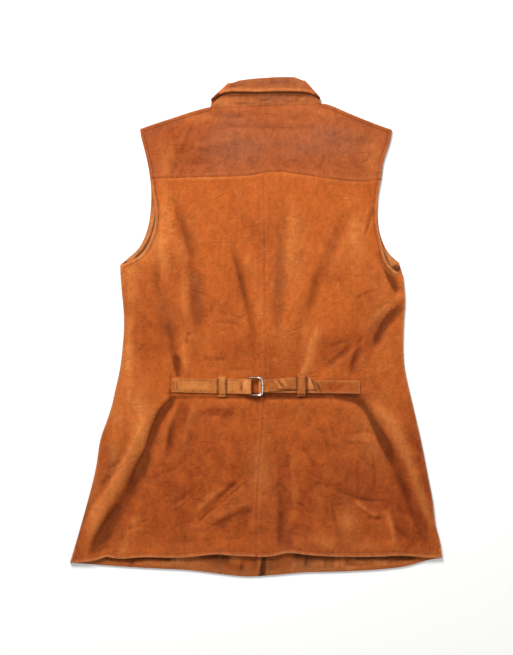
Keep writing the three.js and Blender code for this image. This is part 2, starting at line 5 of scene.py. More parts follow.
import bmesh
import bpy
import numpy as np
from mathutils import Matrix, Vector
from mathutils.bvhtree import BVHTree
from mathutils.kdtree import KDTree


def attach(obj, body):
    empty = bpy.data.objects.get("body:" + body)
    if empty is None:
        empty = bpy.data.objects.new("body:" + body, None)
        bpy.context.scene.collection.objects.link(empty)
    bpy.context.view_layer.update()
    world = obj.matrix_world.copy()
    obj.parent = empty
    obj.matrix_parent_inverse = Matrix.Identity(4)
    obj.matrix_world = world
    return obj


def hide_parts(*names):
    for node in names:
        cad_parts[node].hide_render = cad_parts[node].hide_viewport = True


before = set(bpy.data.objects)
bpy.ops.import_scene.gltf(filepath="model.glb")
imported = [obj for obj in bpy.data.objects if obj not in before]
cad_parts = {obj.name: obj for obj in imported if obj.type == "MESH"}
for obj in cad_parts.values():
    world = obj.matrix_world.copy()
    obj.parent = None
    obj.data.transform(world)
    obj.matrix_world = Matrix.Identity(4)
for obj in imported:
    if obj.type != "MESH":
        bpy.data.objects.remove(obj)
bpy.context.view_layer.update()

# Fronts: four panels of suede that lie under the back with their inside up. Each half has a side
# panel and a centre panel, joined by a seam. They show past the back's hem, where their own hem is
# turned up and stitched, and in the armholes. Each is a skin on its solid's form, given its wall.
MM = 0.001
LEATHER = 1.4 * MM
MERGE_DISTANCE = 0.01 * MM
SAME_SIDE_ANGLE = math.radians(72)
FACES_UP = 0.9
CORNER_TURN = math.radians(32)
RIM_ANGLE = math.radians(50)
RIM_ROUNDING = 0.25 * MM
SKIN_LEVELS = 3
SHOWS_BELOW = -340 * MM
FRONT_HEM_BELOW = -365 * MM
FRONT_TURN_UP = 7 * MM
FRONT_TURN_STEP = 3 * MM
FRONT_TURN_RISE = 0.8 * MM
FRONT_TURN_SINK = 0.5 * MM
SEAM_SINK = 0.2 * MM
SEAM_REACH = 1.5 * MM
SEAM_CLOSING = 0.48
FRONT_SEAM_WIDTH = 2.2 * MM
RIM_PARTS = 8
CLEARANCE = 0.15 * MM
MOST_ROOM = 5 * MM

# A fold: the share of its length in which it fades, how uneven it is, the angle through which its
# waves run, how far they are shifted from fold to fold, and the reach of its two sides
FOLD_FADE = 0.25
FOLD_UNEVENNESS = 0.3
FOLD_WAVES = 9
FOLD_SHIFT = 2.4
SOFT_SIDE = 1.5
STEEP_SIDE = 0.75

# Painted shade and wear: rounds of evening out for fine and broad hollows, the share of each, and the
# width at a rim. Hollows are painted darker as shade and grime, and ridges paler as a highlight and worn
# nap.
FINE_ROUNDS = 5
BROAD_ROUNDS = 60
FINE_HOLLOWS = 0.9
BROAD_HOLLOWS = 0.5
RIM_WEAR = 1.6 * MM

# Flat width, length and area of each panel, in metres
FRONT_PANELS = {
    "front_side_left": (0.169, 0.721, 0.064),
    "front_center_left": (0.146, 0.751, 0.0995),
    "front_center_right": (0.131, 0.754, 0.087),
    "front_side_right": (0.164, 0.734, 0.073),
}

# Creases in the inside of the fronts' hem: rise, half width and line, in millimetres
FRONT_CREASES = [
    (0.7, 4.0, [(-189, -375), (-150, -377), (-110, -379)]),
    (-0.4, 3.0, [(-212, -376), (-200, -380), (-188, -385)]),
    (-0.5, 3.0, [(-60, -371), (-35, -378), (-15, -389)]),
    (0.5, 5.0, [(-48, -372), (-20, -384), (4, -394)]),
    (0.6, 6.0, [(30, -371), (52, -377), (78, -379)]),
    (-0.5, 3.0, [(60, -369), (76, -376), (96, -380)]),
    (0.6, 4.0, [(140, -372), (180, -378), (214, -380)]),
    (-0.4, 3.0, [(104, -370), (112, -380), (118, -388)]),
    (-0.5, 3.0, [(230, -369), (246, -374), (258, -375)]),
]

# Painted shade and dirt on the fronts: shadow in the armholes, under the back's hem and in the front
# opening, and painted highlights along the hem's creases
FRONT_SHADE = [
    (-1.4, 2.5, [(-156, 210), (-159, 180), (-168, 145), (-184, 118), (-206, 102)]),
    (-2.0, 3.5, [(-204, 103), (-209, 102), (-214, 101)]),
    (-1.2, 2.5, [(200, 126), (207, 108), (216, 95), (228, 88)]),
    (-2.6, 4.0, [(218, 97), (223, 92), (229, 88)]),
    (-1.6, 2.5, [(20, -366), (-62, -364), (-126, -369), (-205, -369), (-245, -369), (-264, -377)]),
    (-1.6, 2.5, [(284, -370), (240, -369), (203, -368), (139, -366), (54, -362), (-10, -366)]),
    (-4.0, 3.2, [(17, -340), (13, -366), (10, -384), (4, -420)]),
    (-0.8, 2.0, [(-196, -369), (-200, -378), (-206, -386)]),
    (-0.7, 2.0, [(-60, -366), (-34, -376), (-16, -392)]),
    (0.7, 2.5, [(-50, -366), (-24, -374), (-8, -388)]),
    (-0.6, 2.0, [(-100, -368), (-84, -376), (-50, -381)]),
    (-0.8, 2.0, [(58, -366), (76, -374), (84, -388)]),
    (0.6, 2.5, [(40, -368), (60, -378), (66, -392)]),
    (-0.6, 2.0, [(150, -368), (172, -374), (196, -380)]),
]


def dye(red, green, blue):
    """A colour from its display values, 0 to 255, as the renderer takes it."""
    shares = [value / 255 for value in (red, green, blue)]
    linear = [s / 12.92 if s <= 0.04045 else ((s + 0.055) / 1.055) ** 2.4 for s in shares]
    return (*linear, 1.0)


def make_active(piece):
    """Selects one piece alone, ready for an operator."""
    bpy.ops.object.select_all(action="DESELECT")
    piece.select_set(True)
    bpy.context.view_layer.objects.active = piece


def apply_modifier(piece, kind, **settings):
    """Adds a modifier with these settings and applies it."""
    make_active(piece)
    modifier = piece.modifiers.new(kind.title(), kind)
    for name, value in settings.items():
        setattr(modifier, name, value)
    bpy.ops.object.modifier_apply(modifier=modifier.name)


def points_of(piece):
    """The places of a piece's points, one row each."""
    places = np.empty(3 * len(piece.data.vertices))
    piece.data.vertices.foreach_get("co", places)
    return places.reshape(-1, 3)


def move_points(piece, places):
    """Puts a piece's points at these places."""
    piece.data.vertices.foreach_set("co", places.ravel())
    piece.data.update()


def edges_of(piece):
    """The two ends of every edge, and whether the edge is on the outline."""
    mesh = piece.data
    ends = np.empty(2 * len(mesh.edges), dtype=int)
    mesh.edges.foreach_get("vertices", ends)
    uses = np.zeros(len(mesh.edges), dtype=int)
    loops = np.empty(len(mesh.loops), dtype=int)
    mesh.loops.foreach_get("edge_index", loops)
    np.add.at(uses, loops, 1)
    return ends.reshape(-1, 2), uses == 1


def outline_of(piece):
    """The outline's points in order, as one closed round of point numbers."""
    ends, open_edges = edges_of(piece)
    nearby = {}
    for a, b in ends[open_edges]:
        nearby.setdefault(int(a), []).append(int(b))
        nearby.setdefault(int(b), []).append(int(a))
    start = min(nearby)
    ring = [start, nearby[start][0]]
    while ring[-1] != start:
        here, before = ring[-1], ring[-2]
        ring.append(next(other for other in nearby[here] if other != before))
    return ring[:-1]


def keep_corners(piece):
    """Marks the outline's sharp turns, so that smoothing leaves them where they are."""
    ring = outline_of(piece)
    places = points_of(piece)
    sharpness = piece.data.attributes.new("crease_vert", "FLOAT", "POINT")
    for i, here in enumerate(ring):
        before = places[here] - places[ring[i - 1]]
        after = places[ring[(i + 1) % len(ring)]] - places[here]
        if Vector(before).angle(Vector(after)) > CORNER_TURN:
            sharpness.data[here].value = 1.0


def join_triangles(skin):
    """Joins a grid's triangles into its quads. Every triangle has one edge of each of the grid's
    three ways, in the same turn, and the way that the outline doesn't follow is the diagonal."""
    grid = bmesh.new()
    grid.from_mesh(skin.data)
    grid.faces.ensure_lookup_table()
    ways = {loop.edge: number for number, loop in enumerate(grid.faces[0].loops)}
    reached = {grid.faces[0]}
    waiting = [grid.faces[0]]
    while waiting:
        for loop in waiting.pop().loops:
            across = loop.link_loop_radial_next
            if across.face not in reached:
                reached.add(across.face)
                waiting.append(across.face)
                ways[across.link_loop_next.edge] = (ways[loop.edge] + 1) % 3
                ways[across.link_loop_prev.edge] = (ways[loop.edge] + 2) % 3
    followed = {ways[edge] for edge in grid.edges if edge.is_boundary}
    diagonals = [edge for edge in grid.edges if ways[edge] not in followed]
    bmesh.ops.dissolve_edges(grid, edges=diagonals, use_verts=False)
    grid.to_mesh(skin.data)
    grid.free()


def skin_of(node_name, cut_corners=True):
    """The upper skin of a solid's form as a fine, smooth sheet with the solid's outline."""
    skin = bpy.data.objects.new(f"leather_{node_name}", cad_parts[node_name].data.copy())
    bpy.context.collection.objects.link(skin)
    make_active(skin)
    bpy.ops.mesh.customdata_custom_splitnormals_clear()
    bpy.ops.object.mode_set(mode="EDIT")
    bpy.ops.mesh.select_mode(type="FACE")
    bpy.ops.mesh.select_all(action="SELECT")
    bpy.ops.mesh.remove_doubles(threshold=MERGE_DISTANCE)
    bpy.ops.mesh.select_all(action="DESELECT")
    bpy.ops.object.mode_set(mode="OBJECT")
    facing_up = [face for face in skin.data.polygons if face.normal.z > FACES_UP]
    max(facing_up, key=lambda face: face.center.z).select = True
    bpy.ops.object.mode_set(mode="EDIT")
    bpy.ops.mesh.faces_select_linked_flat(sharpness=SAME_SIDE_ANGLE)
    bpy.ops.mesh.select_all(action="INVERT")
    bpy.ops.mesh.delete(type="FACE")
    bpy.ops.object.mode_set(mode="OBJECT")
    join_triangles(skin)
    if cut_corners:
        keep_corners(skin)
    apply_modifier(skin, "SUBSURF", levels=SKIN_LEVELS, render_levels=SKIN_LEVELS)
    return skin


def smooth_line(rows):
    """A line through rows of millimetres in metres, with its corners cut twice."""
    line = np.array(rows, dtype=float) * MM
    for _ in range(2):
        quarter = 0.75 * line[:-1] + 0.25 * line[1:]
        three_quarters = 0.25 * line[:-1] + 0.75 * line[1:]
        middle = np.stack([quarter, three_quarters], axis=1).reshape(-1, 2)
        line = np.vstack([line[:1], middle, line[-1:]])
    return line


def along_line(places, line):
    """How far each point is from a line, its share of the way along it, and whether it is left of it."""
    nearest = np.full(len(places), np.inf)
    share = np.zeros(len(places))
    left = np.zeros(len(places), dtype=bool)
    lengths = np.linalg.norm(np.diff(line, axis=0), axis=1)
    starts = np.concatenate([[0], np.cumsum(lengths)])
    for i, length in enumerate(lengths):
        onward = (line[i + 1] - line[i]) / length
        offset = places[:, :2] - line[i]
        way = np.clip(offset @ onward, 0, length)
        gap = np.hypot(*(offset - way[:, None] * onward).T)
        closer = gap < nearest
        nearest[closer] = gap[closer]
        share[closer] = ((starts[i] + way) / starts[-1])[closer]
        left[closer] = (onward[0] * offset[:, 1] > onward[1] * offset[:, 0])[closer]
    return nearest, share, left


def eased(values, start, end):
    """From 0 at start to 1 at end, eased at both."""
    t = np.clip((values - start) / (end - start), 0, 1)
    return t * t * (3 - 2 * t)


def ridge(distance, width):
    """1 at no distance, falling softly to nearly 0 at twice the width."""
    return np.exp(-((distance / width) ** 2))


def height_of_folds(places, rows):
    """Height of the folds over each point. Each is soft on one side and steep on the other, fades
    out at its ends, and is uneven on its way."""
    height = np.zeros(len(places))
    for number, (rise, width, points) in enumerate(rows):
        gap, share, left = along_line(places, smooth_line(points))
        fade = eased(np.minimum(share, 1 - share), 0, FOLD_FADE)
        uneven = 1 + FOLD_UNEVENNESS * np.sin(FOLD_WAVES * share + FOLD_SHIFT * number)
        reach = width * MM * np.where(left, SOFT_SIDE, STEEP_SIDE)
        height += rise * MM * fade * uneven * ridge(gap, reach)
    return height


def distance_to(places, targets):
    """How far each point is from the nearest of some target points, seen from above."""
    tree = KDTree(len(targets))
    for i, (x, y) in enumerate(targets[:, :2]):
        tree.insert((x, y, 0), i)
    tree.balance()
    return np.array([tree.find((x, y, 0))[2] for x, y in places[:, :2]])


def dense(rim):
    """A closed rim's points with more of them in between."""
    onward = np.roll(rim, -1, axis=0) - rim
    return np.vstack([rim + onward * i / RIM_PARTS for i in range(RIM_PARTS)])


def close_seams(skins):
    """Moves the rims of skins that are sewn together nearly onto each other, along the seams."""
    rims = {name: outline_of(skin) for name, skin in skins.items()}
    before = {name: points_of(skin) for name, skin in skins.items()}
    for name, skin in skins.items():
        others = np.vstack([dense(before[key][rims[key]]) for key in skins if key != name])
        tree = KDTree(len(others))
        for i, place in enumerate(others):
            tree.insert(place, i)
        tree.balance()
        places = before[name].copy()
        for i in rims[name]:
            found, _, gap = tree.find(places[i])
            if gap < SEAM_REACH:
                places[i] += SEAM_CLOSING * (np.array(found) - places[i])
        move_points(skin, places)


def neighbour_mean(values, ends, rounds):
    """Each point's value, evened out with its neighbours' this many times."""
    count = np.bincount(ends.ravel(), minlength=len(values))
    for _ in range(rounds):
        total = np.bincount(ends[:, 0], values[ends[:, 1]], len(values))
        total += np.bincount(ends[:, 1], values[ends[:, 0]], len(values))
        values = total / np.maximum(count, 1)
    return values


def paint(piece, name, red, green, blue):
    """Stores three values of every point for the finish, as one colour attribute."""
    values = np.stack([red, green, blue, np.ones(len(red))], axis=1)
    layer = piece.data.color_attributes.new(name, "FLOAT_COLOR", "POINT")
    layer.data.foreach_set("color", np.clip(values, 0, 1).astype(np.float32).ravel())


def stain_shares(places, stains):
    """How brown, how red and how pale each point is, from soft oval stains."""
    shares = {"brown": 0, "red": 0, "pale": 0}
    for kind, x, y, half_width, half_height, strength in stains:
        across = (places[:, 0] / MM - x) / half_width
        up = (places[:, 1] / MM - y) / half_height
        shares[kind] = shares[kind] + strength * np.exp(-(across**2 + up**2))
    return [np.zeros(len(places)) + shares[kind] for kind in ("brown", "red", "pale")]


def paint_shade_and_wear(piece, edge_points, stains, painted_light_and_dirt=0):
    """Stores where the leather is hollow, raised or near an edge, and where it is stained. The finish
    paints shade and grime into the hollows, and a highlight and worn nap onto the raised places. The last
    argument adds painted shade and highlights along folds and under and beside other pieces, and darker
    lines along the stitching."""
    places = points_of(piece)
    ends, _ = edges_of(piece)
    fine = neighbour_mean(places[:, 2], ends, FINE_ROUNDS)
    broad = neighbour_mean(fine, ends, BROAD_ROUNDS)
    lift = FINE_HOLLOWS * (places[:, 2] - fine) / MM + BROAD_HOLLOWS * (fine - broad) / MM + painted_light_and_dirt
    near_edge = np.exp(-distance_to(places, edge_points) / RIM_WEAR)
    # The first attribute holds painted shade for hollows, a painted highlight for raised places, and the
    # worn edges.
    paint(piece, "shade_and_wear", -lift, lift, near_edge)
    paint(piece, "stain", *stain_shares(places, stains))


def give_wall(piece, thickness):
    """Gives a skin its wall downwards, of this thickness at each point, and rounds its rim."""
    most = float(thickness.max())
    group = piece.vertex_groups.new(name="wall")
    for i, share in enumerate(thickness / most):
        group.add([i], float(share), "REPLACE")
    apply_modifier(piece, "SOLIDIFY", thickness=most, offset=-1, vertex_group="wall")
    apply_modifier(
        piece, "BEVEL", width=RIM_ROUNDING, segments=2, limit_method="ANGLE", angle_limit=RIM_ANGLE
    )
    make_active(piece)
    bpy.ops.object.shade_smooth_by_angle(angle=RIM_ANGLE)


def tree_of(node_names):
    """The solids of some nodes, ready to be met by rays."""
    corners, faces = [], []
    for name in node_names:
        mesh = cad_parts[name].data
        faces += [[len(corners) + i for i in face.vertices] for face in mesh.polygons]
        corners += [point.co.copy() for point in mesh.vertices]
    return BVHTree.FromPolygons(corners, faces)


def room_to(places, tree, way):
    """How far each point may rise, or sink if the way is -1, before it meets what lies there."""
    room = np.full(len(places), MOST_ROOM)
    for i, place in enumerate(places):
        distance = tree.ray_cast(Vector(place), Vector((0, 0, way)))[3]
        if distance is not None:
            room[i] = max(distance - CLEARANCE, 0)
    return room


def feed(tree, socket, value):
    """Links a socket's output to this input, or sets a plain value on it."""
    if isinstance(value, bpy.types.NodeSocket):
        tree.links.new(value, socket)
    else:
        socket.default_value = value


def calculate(tree, operation, *values, clamp=False):
    """A Math node on these values."""
    node = tree.nodes.new("ShaderNodeMath")
    node.operation = operation
    node.use_clamp = clamp
    for socket, value in zip(node.inputs, values):
        feed(tree, socket, value)
    return node.outputs[0]


def times(tree, first, second, clamp=False):
    """The product of two values."""
    return calculate(tree, "MULTIPLY", first, second, clamp=clamp)


def blend(tree, amount, below, above, way="MIX"):
    """A Mix node of two colours."""
    node = tree.nodes.new("ShaderNodeMix")
    node.data_type = "RGBA"
    node.blend_type = way
    feed(tree, node.inputs[0], amount)
    feed(tree, node.inputs[6], below)
    feed(tree, node.inputs[7], above)
    return node.outputs[2]


def spread(tree, value, low, high, to_low=0.0, to_high=1.0):
    """A Map Range node, smooth between low and high."""
    node = tree.nodes.new("ShaderNodeMapRange")
    node.interpolation_type = "SMOOTHSTEP"
    for socket, amount in zip(node.inputs, (value, low, high, to_low, to_high)):
        feed(tree, socket, amount)
    return node.outputs[0]


def noise(tree, place, scale, detail, roughness, distortion=0.0):
    """A Noise Texture on Object coordinates, or on a stretched copy of them."""
    node = tree.nodes.new("ShaderNodeTexNoise")
    node.inputs["Scale"].default_value = scale
    node.inputs["Detail"].default_value = detail
    node.inputs["Roughness"].default_value = roughness
    node.inputs["Distortion"].default_value = distortion
    tree.links.new(place, node.inputs["Vector"])
    return node.outputs[0]


def stretched(tree, place, scale):
    """Coordinates stretched by a Mapping node."""
    node = tree.nodes.new("ShaderNodeMapping")
    node.inputs["Scale"].default_value = scale
    tree.links.new(place, node.inputs["Vector"])
    return node.outputs[0]


def shares_of(tree, attribute):
    """The three values that a colour attribute stores."""
    source = tree.nodes.new("ShaderNodeAttribute")
    source.attribute_name = attribute
    parts = tree.nodes.new("ShaderNodeSeparateColor")
    tree.links.new(source.outputs["Color"], parts.inputs[0])
    return parts.outputs[0], parts.outputs[1], parts.outputs[2]


def crease_lines(tree, place, scale, stretch, width, where):
    """Thin wandering creases, where a noise passes its middle value."""
    place = stretched(tree, place, stretch)
    wandering = noise(tree, place, scale, detail=3, roughness=0.5, distortion=0.6)
    off_middle = calculate(tree, "ABSOLUTE", calculate(tree, "SUBTRACT", wandering, 0.5))
    return times(tree, spread(tree, off_middle, 0.0, width, 1.0, 0.0), where)


def start_material(name):
    """A new material, its node tree and its shader."""
    material = bpy.data.materials.new(name)
    material.use_nodes = True
    return material, material.node_tree, material.node_tree.nodes["Principled BSDF"]


def add_bump(tree, shader, height, strength, distance):
    """Raises a shader's surface by a height, through a Bump node."""
    bump = tree.nodes.new("ShaderNodeBump")
    bump.inputs["Strength"].default_value = strength
    bump.inputs["Distance"].default_value = distance
    tree.links.new(height, bump.inputs["Height"])
    tree.links.new(bump.outputs["Normal"], shader.inputs["Normal"])


def build_suede_group():
    """Brushed suede: a patchy dye, nap brushed both ways, painted shade and grime in hollows and creases,
    a painted highlight and worn nap on ridges, worn edges and stains.
    """
    group = bpy.data.node_groups.new("Brushed suede", "ShaderNodeTree")
    ask = group.interface.new_socket
    for name in ("Base", "Deep", "Brown", "Pale", "Dark", "Edge"):
        ask(name=name, in_out="INPUT", socket_type="NodeSocketColor")
    ask(name="Patchiness", in_out="INPUT", socket_type="NodeSocketFloat")
    ask(name="Color", in_out="OUTPUT", socket_type="NodeSocketColor")
    ask(name="Roughness", in_out="OUTPUT", socket_type="NodeSocketFloat")
    ask(name="Height", in_out="OUTPUT", socket_type="NodeSocketFloat")
    given = group.nodes.new("NodeGroupInput").outputs
    result = group.nodes.new("NodeGroupOutput").inputs
    place = group.nodes.new("ShaderNodeTexCoord").outputs["Object"]

    hide = noise(group, place, scale=9, detail=3, roughness=0.55, distortion=0.3)
    mottle = noise(group, place, scale=46, detail=5, roughness=0.62, distortion=0.5)
    fine_mottle = noise(group, place, scale=170, detail=4, roughness=0.6, distortion=0.2)
    nap = noise(group, place, scale=620, detail=3, roughness=0.6)
    across = stretched(group, place, (1.0, 0.5, 1.0))
    brushed = noise(group, across, scale=110, detail=4, roughness=0.6, distortion=0.6)
    across = stretched(group, place, (1.0, 0.7, 1.0))
    crumpled = noise(group, across, scale=30, detail=4, roughness=0.6, distortion=0.8)
    coarse = crease_lines(
        group, place, scale=17, stretch=(1.0, 1.5, 1.0), width=0.03,
        where=spread(group, mottle, 0.42, 0.62),
    )
    fine = crease_lines(
        group, place, scale=44, stretch=(1.0, 0.7, 1.0), width=0.045,
        where=spread(group, hide, 0.42, 0.6),
    )
    creases = calculate(group, "MAXIMUM", coarse, times(group, fine, 0.6))
    hollow, crest, near_edge = shares_of(group, "shade_and_wear")
    brown, red, pale = shares_of(group, "stain")

    # Layers of colour from the dye up: where, how strong, and which colour. Hollows and fine creases take
    # the dark colour as painted shade, and raised places take the pale one as a painted highlight.
    torn = spread(group, mottle, 0.3, 0.7, 0.55, 1.45)
    deep_patches = spread(group, hide, 0.45, 0.72)
    pale_patches = times(group, spread(group, mottle, 0.5, 0.75), 0.6)
    color = given["Base"]
    for where, strength, layer in (
        (deep_patches, given["Patchiness"], "Deep"), (pale_patches, given["Patchiness"], "Pale"),
        (brown, torn, "Brown"), (red, torn, "Deep"), (pale, torn, "Pale"), (near_edge, 0.7, "Edge"),
        (hollow, 0.75, "Dark"), (creases, 0.16, "Dark"), (crest, 0.45, "Pale"),
    ):
        color = blend(group, times(group, where, strength, clamp=True), color, given[layer])
    grain = calculate(group, "ADD", times(group, nap, 0.25), brushed)
    grain = calculate(group, "ADD", grain, times(group, fine_mottle, 0.8))
    shade = spread(group, grain, 0.75, 1.3, 0.85, 1.12)
    tint = group.nodes.new("ShaderNodeCombineColor")
    for socket in tint.inputs:
        group.links.new(shade, socket)
    color = blend(group, 1.0, color, tint.outputs[0], "MULTIPLY")

    group.links.new(color, result["Color"])
    group.links.new(spread(group, nap, 0.3, 0.7, 0.82, 0.97), result["Roughness"])
    height = calculate(group, "ADD", grain, times(group, crumpled, 4.6))
    height = calculate(group, "SUBTRACT", height, times(group, creases, 1.2))
    group.links.new(height, result["Height"])
    return group


def suede(name, base, deep, brown, pale, dark, edge, patchiness):
    """A material of the brushed suede, in its own colours."""
    material, tree, shader = start_material(name)
    finish = tree.nodes.new("ShaderNodeGroup")
    finish.node_tree = suede_group
    # The dark colour is the shade painted in hollows and creases. The pale one is also the highlight
    # painted on ridges.
    colours = {"Base": base, "Deep": deep, "Brown": brown, "Pale": pale, "Dark": dark, "Edge": edge}
    for socket, colour in colours.items():
        finish.inputs[socket].default_value = dye(*colour)
    finish.inputs["Patchiness"].default_value = patchiness
    add_bump(tree, shader, finish.outputs["Height"], strength=0.5, distance=0.7 * MM)
    tree.links.new(finish.outputs["Color"], shader.inputs["Base Color"])
    tree.links.new(finish.outputs["Roughness"], shader.inputs["Roughness"])
    shader.inputs["Specular IOR Level"].default_value = 0.06
    shader.inputs["Sheen Weight"].default_value = 0.06
    shader.inputs["Sheen Roughness"].default_value = 0.5
    shader.inputs["Sheen Tint"].default_value = dye(230, 150, 95)
    return material


def dress(piece, material):
    """Gives a piece its one material."""
    piece.data.materials.clear()
    piece.data.materials.append(material)


def settle(piece, node):
    """Gives a finished piece its place in the frame."""
    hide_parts(node)
    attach(piece, "root")


suede_group = build_suede_group()
front_suede = suede(
    "front suede, inside",
    base=(151, 75, 30), deep=(134, 62, 24), brown=(122, 72, 40), pale=(198, 124, 72),
    dark=(50, 21, 8), edge=(146, 82, 42), patchiness=0.7,
)

# Soft stains and worn places: kind, middle, half sizes and strength
FRONT_STAINS = [
    ("brown", 60, -376, 30, 8, 0.7),
    ("brown", 20, -385, 14, 12, 0.5),
    ("brown", -250, -378, 30, 6, 0.4),
    ("brown", -60, -378, 14, 6, 0.6),
    # Painted paler along both armholes, lifting the shade that falls on the fronts there
    ("pale", -200, 112, 26, 16, 1.1),
    ("pale", -172, 160, 14, 44, 1.1),
    ("pale", 216, 106, 14, 24, 1.3),
    ("pale", -110, -378, 40, 8, 0.4),
    ("pale", 100, -380, 24, 12, 0.5),
    ("pale", 190, -372, 40, 8, 0.4),
    ("red", -20, -388, 30, 10, 0.4),
]

front_skins = {name: skin_of(name) for name in FRONT_PANELS}
close_seams(front_skins)
front_rims = {name: points_of(skin)[outline_of(skin)] for name, skin in front_skins.items()}
back_solids = tree_of(["back_panel_left", "back_panel_right", "back_yoke"])
leather_pieces = {}
for name, (width, length, area) in FRONT_PANELS.items():
    skin = front_skins[name]
    places = points_of(skin)
    rim = front_rims[name]
    others = np.vstack([other for key, other in front_rims.items() if key != name])
    seam = rim[distance_to(rim, others) < SEAM_REACH]
    edge = rim[distance_to(rim, others) > 2 * SEAM_REACH]
    from_hem = distance_to(places, rim[rim[:, 1] < FRONT_HEM_BELOW])
    rise = FRONT_TURN_RISE * (1 - eased(from_hem, FRONT_TURN_UP, FRONT_TURN_UP + FRONT_TURN_STEP))
    rise += height_of_folds(places, FRONT_CREASES)
    rise -= SEAM_SINK * ridge(distance_to(places, seam), FRONT_SEAM_WIDTH)
    rise = np.minimum(rise, room_to(places, back_solids, 1))
    rise = np.where(places[:, 1] < SHOWS_BELOW, np.maximum(rise, -FRONT_TURN_SINK), 0)
    places[:, 2] += rise
    move_points(skin, places)
    paint_shade_and_wear(skin, edge, FRONT_STAINS, height_of_folds(places, FRONT_SHADE) / MM)
    give_wall(skin, LEATHER + rise)
    dress(skin, front_suede)
    settle(skin, name)
    leather_pieces[name] = skin

# Back: two panels that meet in a seam down the middle, stitched on both sides of it. The hem is
# turned up and stitched, and the armhole edges are turned in. The belt has drawn the leather into
# long folds at the waist, and finer creases run across the skirt.
BACK_PANELS = {
    "back_panel_left": (0.313, 0.625, 0.144),
    "back_panel_right": (0.297, 0.619, 0.142),
}
HEM_DEPTH = 25 * MM
HEM_STEP = 8 * MM
TURNED_EDGE = 4 * MM
TURNED_RISE = 0.35 * MM
STITCH_LINE = 5.5 * MM
STITCH_SINK = 0.35 * MM
STITCH_WIDTH = 1.4 * MM
TONE_WIDTH = 1 * MM
STITCH_TONE = 0.35
SEAM_WIDTH = 1.6 * MM
SEAM_STITCH_LINE = 3.2 * MM
SEAM_STITCH_TONE = 0.15
SEAM_BANK = 4.2 * MM
SEAM_BANK_WIDTH = 2.0 * MM
# Paler paint along a seam's middle, taking back some of the shade painted in its hollow
SEAM_LIGHTER = 0.35
SEAM_LIGHTER_WIDTH = 1.2 * MM
OFF_SEAM = 3 * MM
SIDE_FROM = -355 * MM
SIDE_TO = 88 * MM
SETTLING = 16 * MM
BELT_PLACE = {"line": -95, "half_width": 12.5, "ramp": 5, "from_x": -138, "to_x": 168}
BELT_PRESS = 0.8
# Share of each fold's height painted into the colour: shade in its hollow, highlight on its ridge
FOLD_PAINTED_SHADE = 0.24

# Folds and creases above the belt, and those of the skirt: rise, half width and line, in millimetres
BACK_FOLDS = [
    (-0.72, 11, [(-158, 110), (-160, 70), (-152, 30), (-146, 0), (-140, -30)]),
    (1.12, 7, [(-146, 210), (-150, 150), (-148, 90), (-150, 50)]),
    (-0.72, 8, [
        (-135, 225), (-128, 200), (-118, 165), (-108, 130), (-103, 90), (-100, 50), (-96, 10),
        (-93, -25),
    ]),
    (0.88, 9, [(-126, 150), (-118, 100), (-116, 50), (-112, 0)]),
    (-0.72, 7, [(-145, 26), (-140, 0), (-134, -30), (-128, -60), (-124, -92)]),
    (-1.8, 5, [(-131, -40), (-128, -58), (-126, -76), (-122, -104)]),
    (0.96, 5, [(-118, -25), (-114, -55), (-108, -80)]),
    (-1, 5, [(-46, 144), (-35, 115), (-25, 75), (-16, 40), (-8, 0), (0, -26)]),
    (0.88, 8, [(-22, 130), (-8, 90), (4, 45), (10, 0)]),
    (-0.6, 8, [(45, 242), (40, 200), (38, 150), (37, 100), (33, 50), (33, 0), (34, -66)]),
    (0.72, 9, [(62, 220), (60, 170), (58, 120), (54, 60)]),
    (-0.8, 9, [(152, 204), (140, 178), (122, 140), (105, 105), (93, 65), (86, 30), (80, -8)]),
    (0.88, 9, [(166, 190), (150, 150), (132, 110), (116, 66)]),
    (1.8, 7, [(101, 12), (92, -30), (80, -60), (70, -92)]),
    (-2.4, 6, [(195, 128), (207, 95), (218, 70), (230, 46)]),
    (-2.4, 6, [(246, 48), (228, 30), (208, 10), (194, -15), (186, -38)]),
    (1.12, 7, [(240, 62), (222, 44), (204, 28), (184, 8)]),
    (-1.6, 6, [(174, -6), (162, -35), (154, -60), (151, -84)]),
    (0.58, 3, [(179, 197), (176, 173), (170, 146)]),
    (-0.48, 2.5, [(184, 190), (181, 168), (173, 142)]),
    (0.48, 2.5, [(189, 184), (184, 162), (171, 138)]),
    (-0.86, 3.5, [(-107, -5), (-110, -18), (-112, -30)]),
    (-0.58, 4, [(173, 5), (157, -24), (130, -48), (99, -70)]),
    (0.48, 4, [(181, -5), (163, -34), (134, -56), (109, -72)]),
    (-0.48, 3, [(-88, -50), (-69, -53), (-43, -50)]),
    (-0.38, 3, [(-67, 5), (-48, 8), (-26, 3), (-10, -5)]),
    (-0.38, 3, [(-82, 27), (-62, 24), (-42, 18)]),
    (-0.38, 2.5, [(-50, -67), (-30, -69), (-11, -67)]),
    (-0.48, 3, [(104, -34), (125, -29), (150, -21), (165, -6)]),
    (-0.38, 2.5, [(198, 62), (176, 56), (154, 43)]),
    (-0.38, 2.5, [(70, 43), (54, 24), (48, -5)]),
]
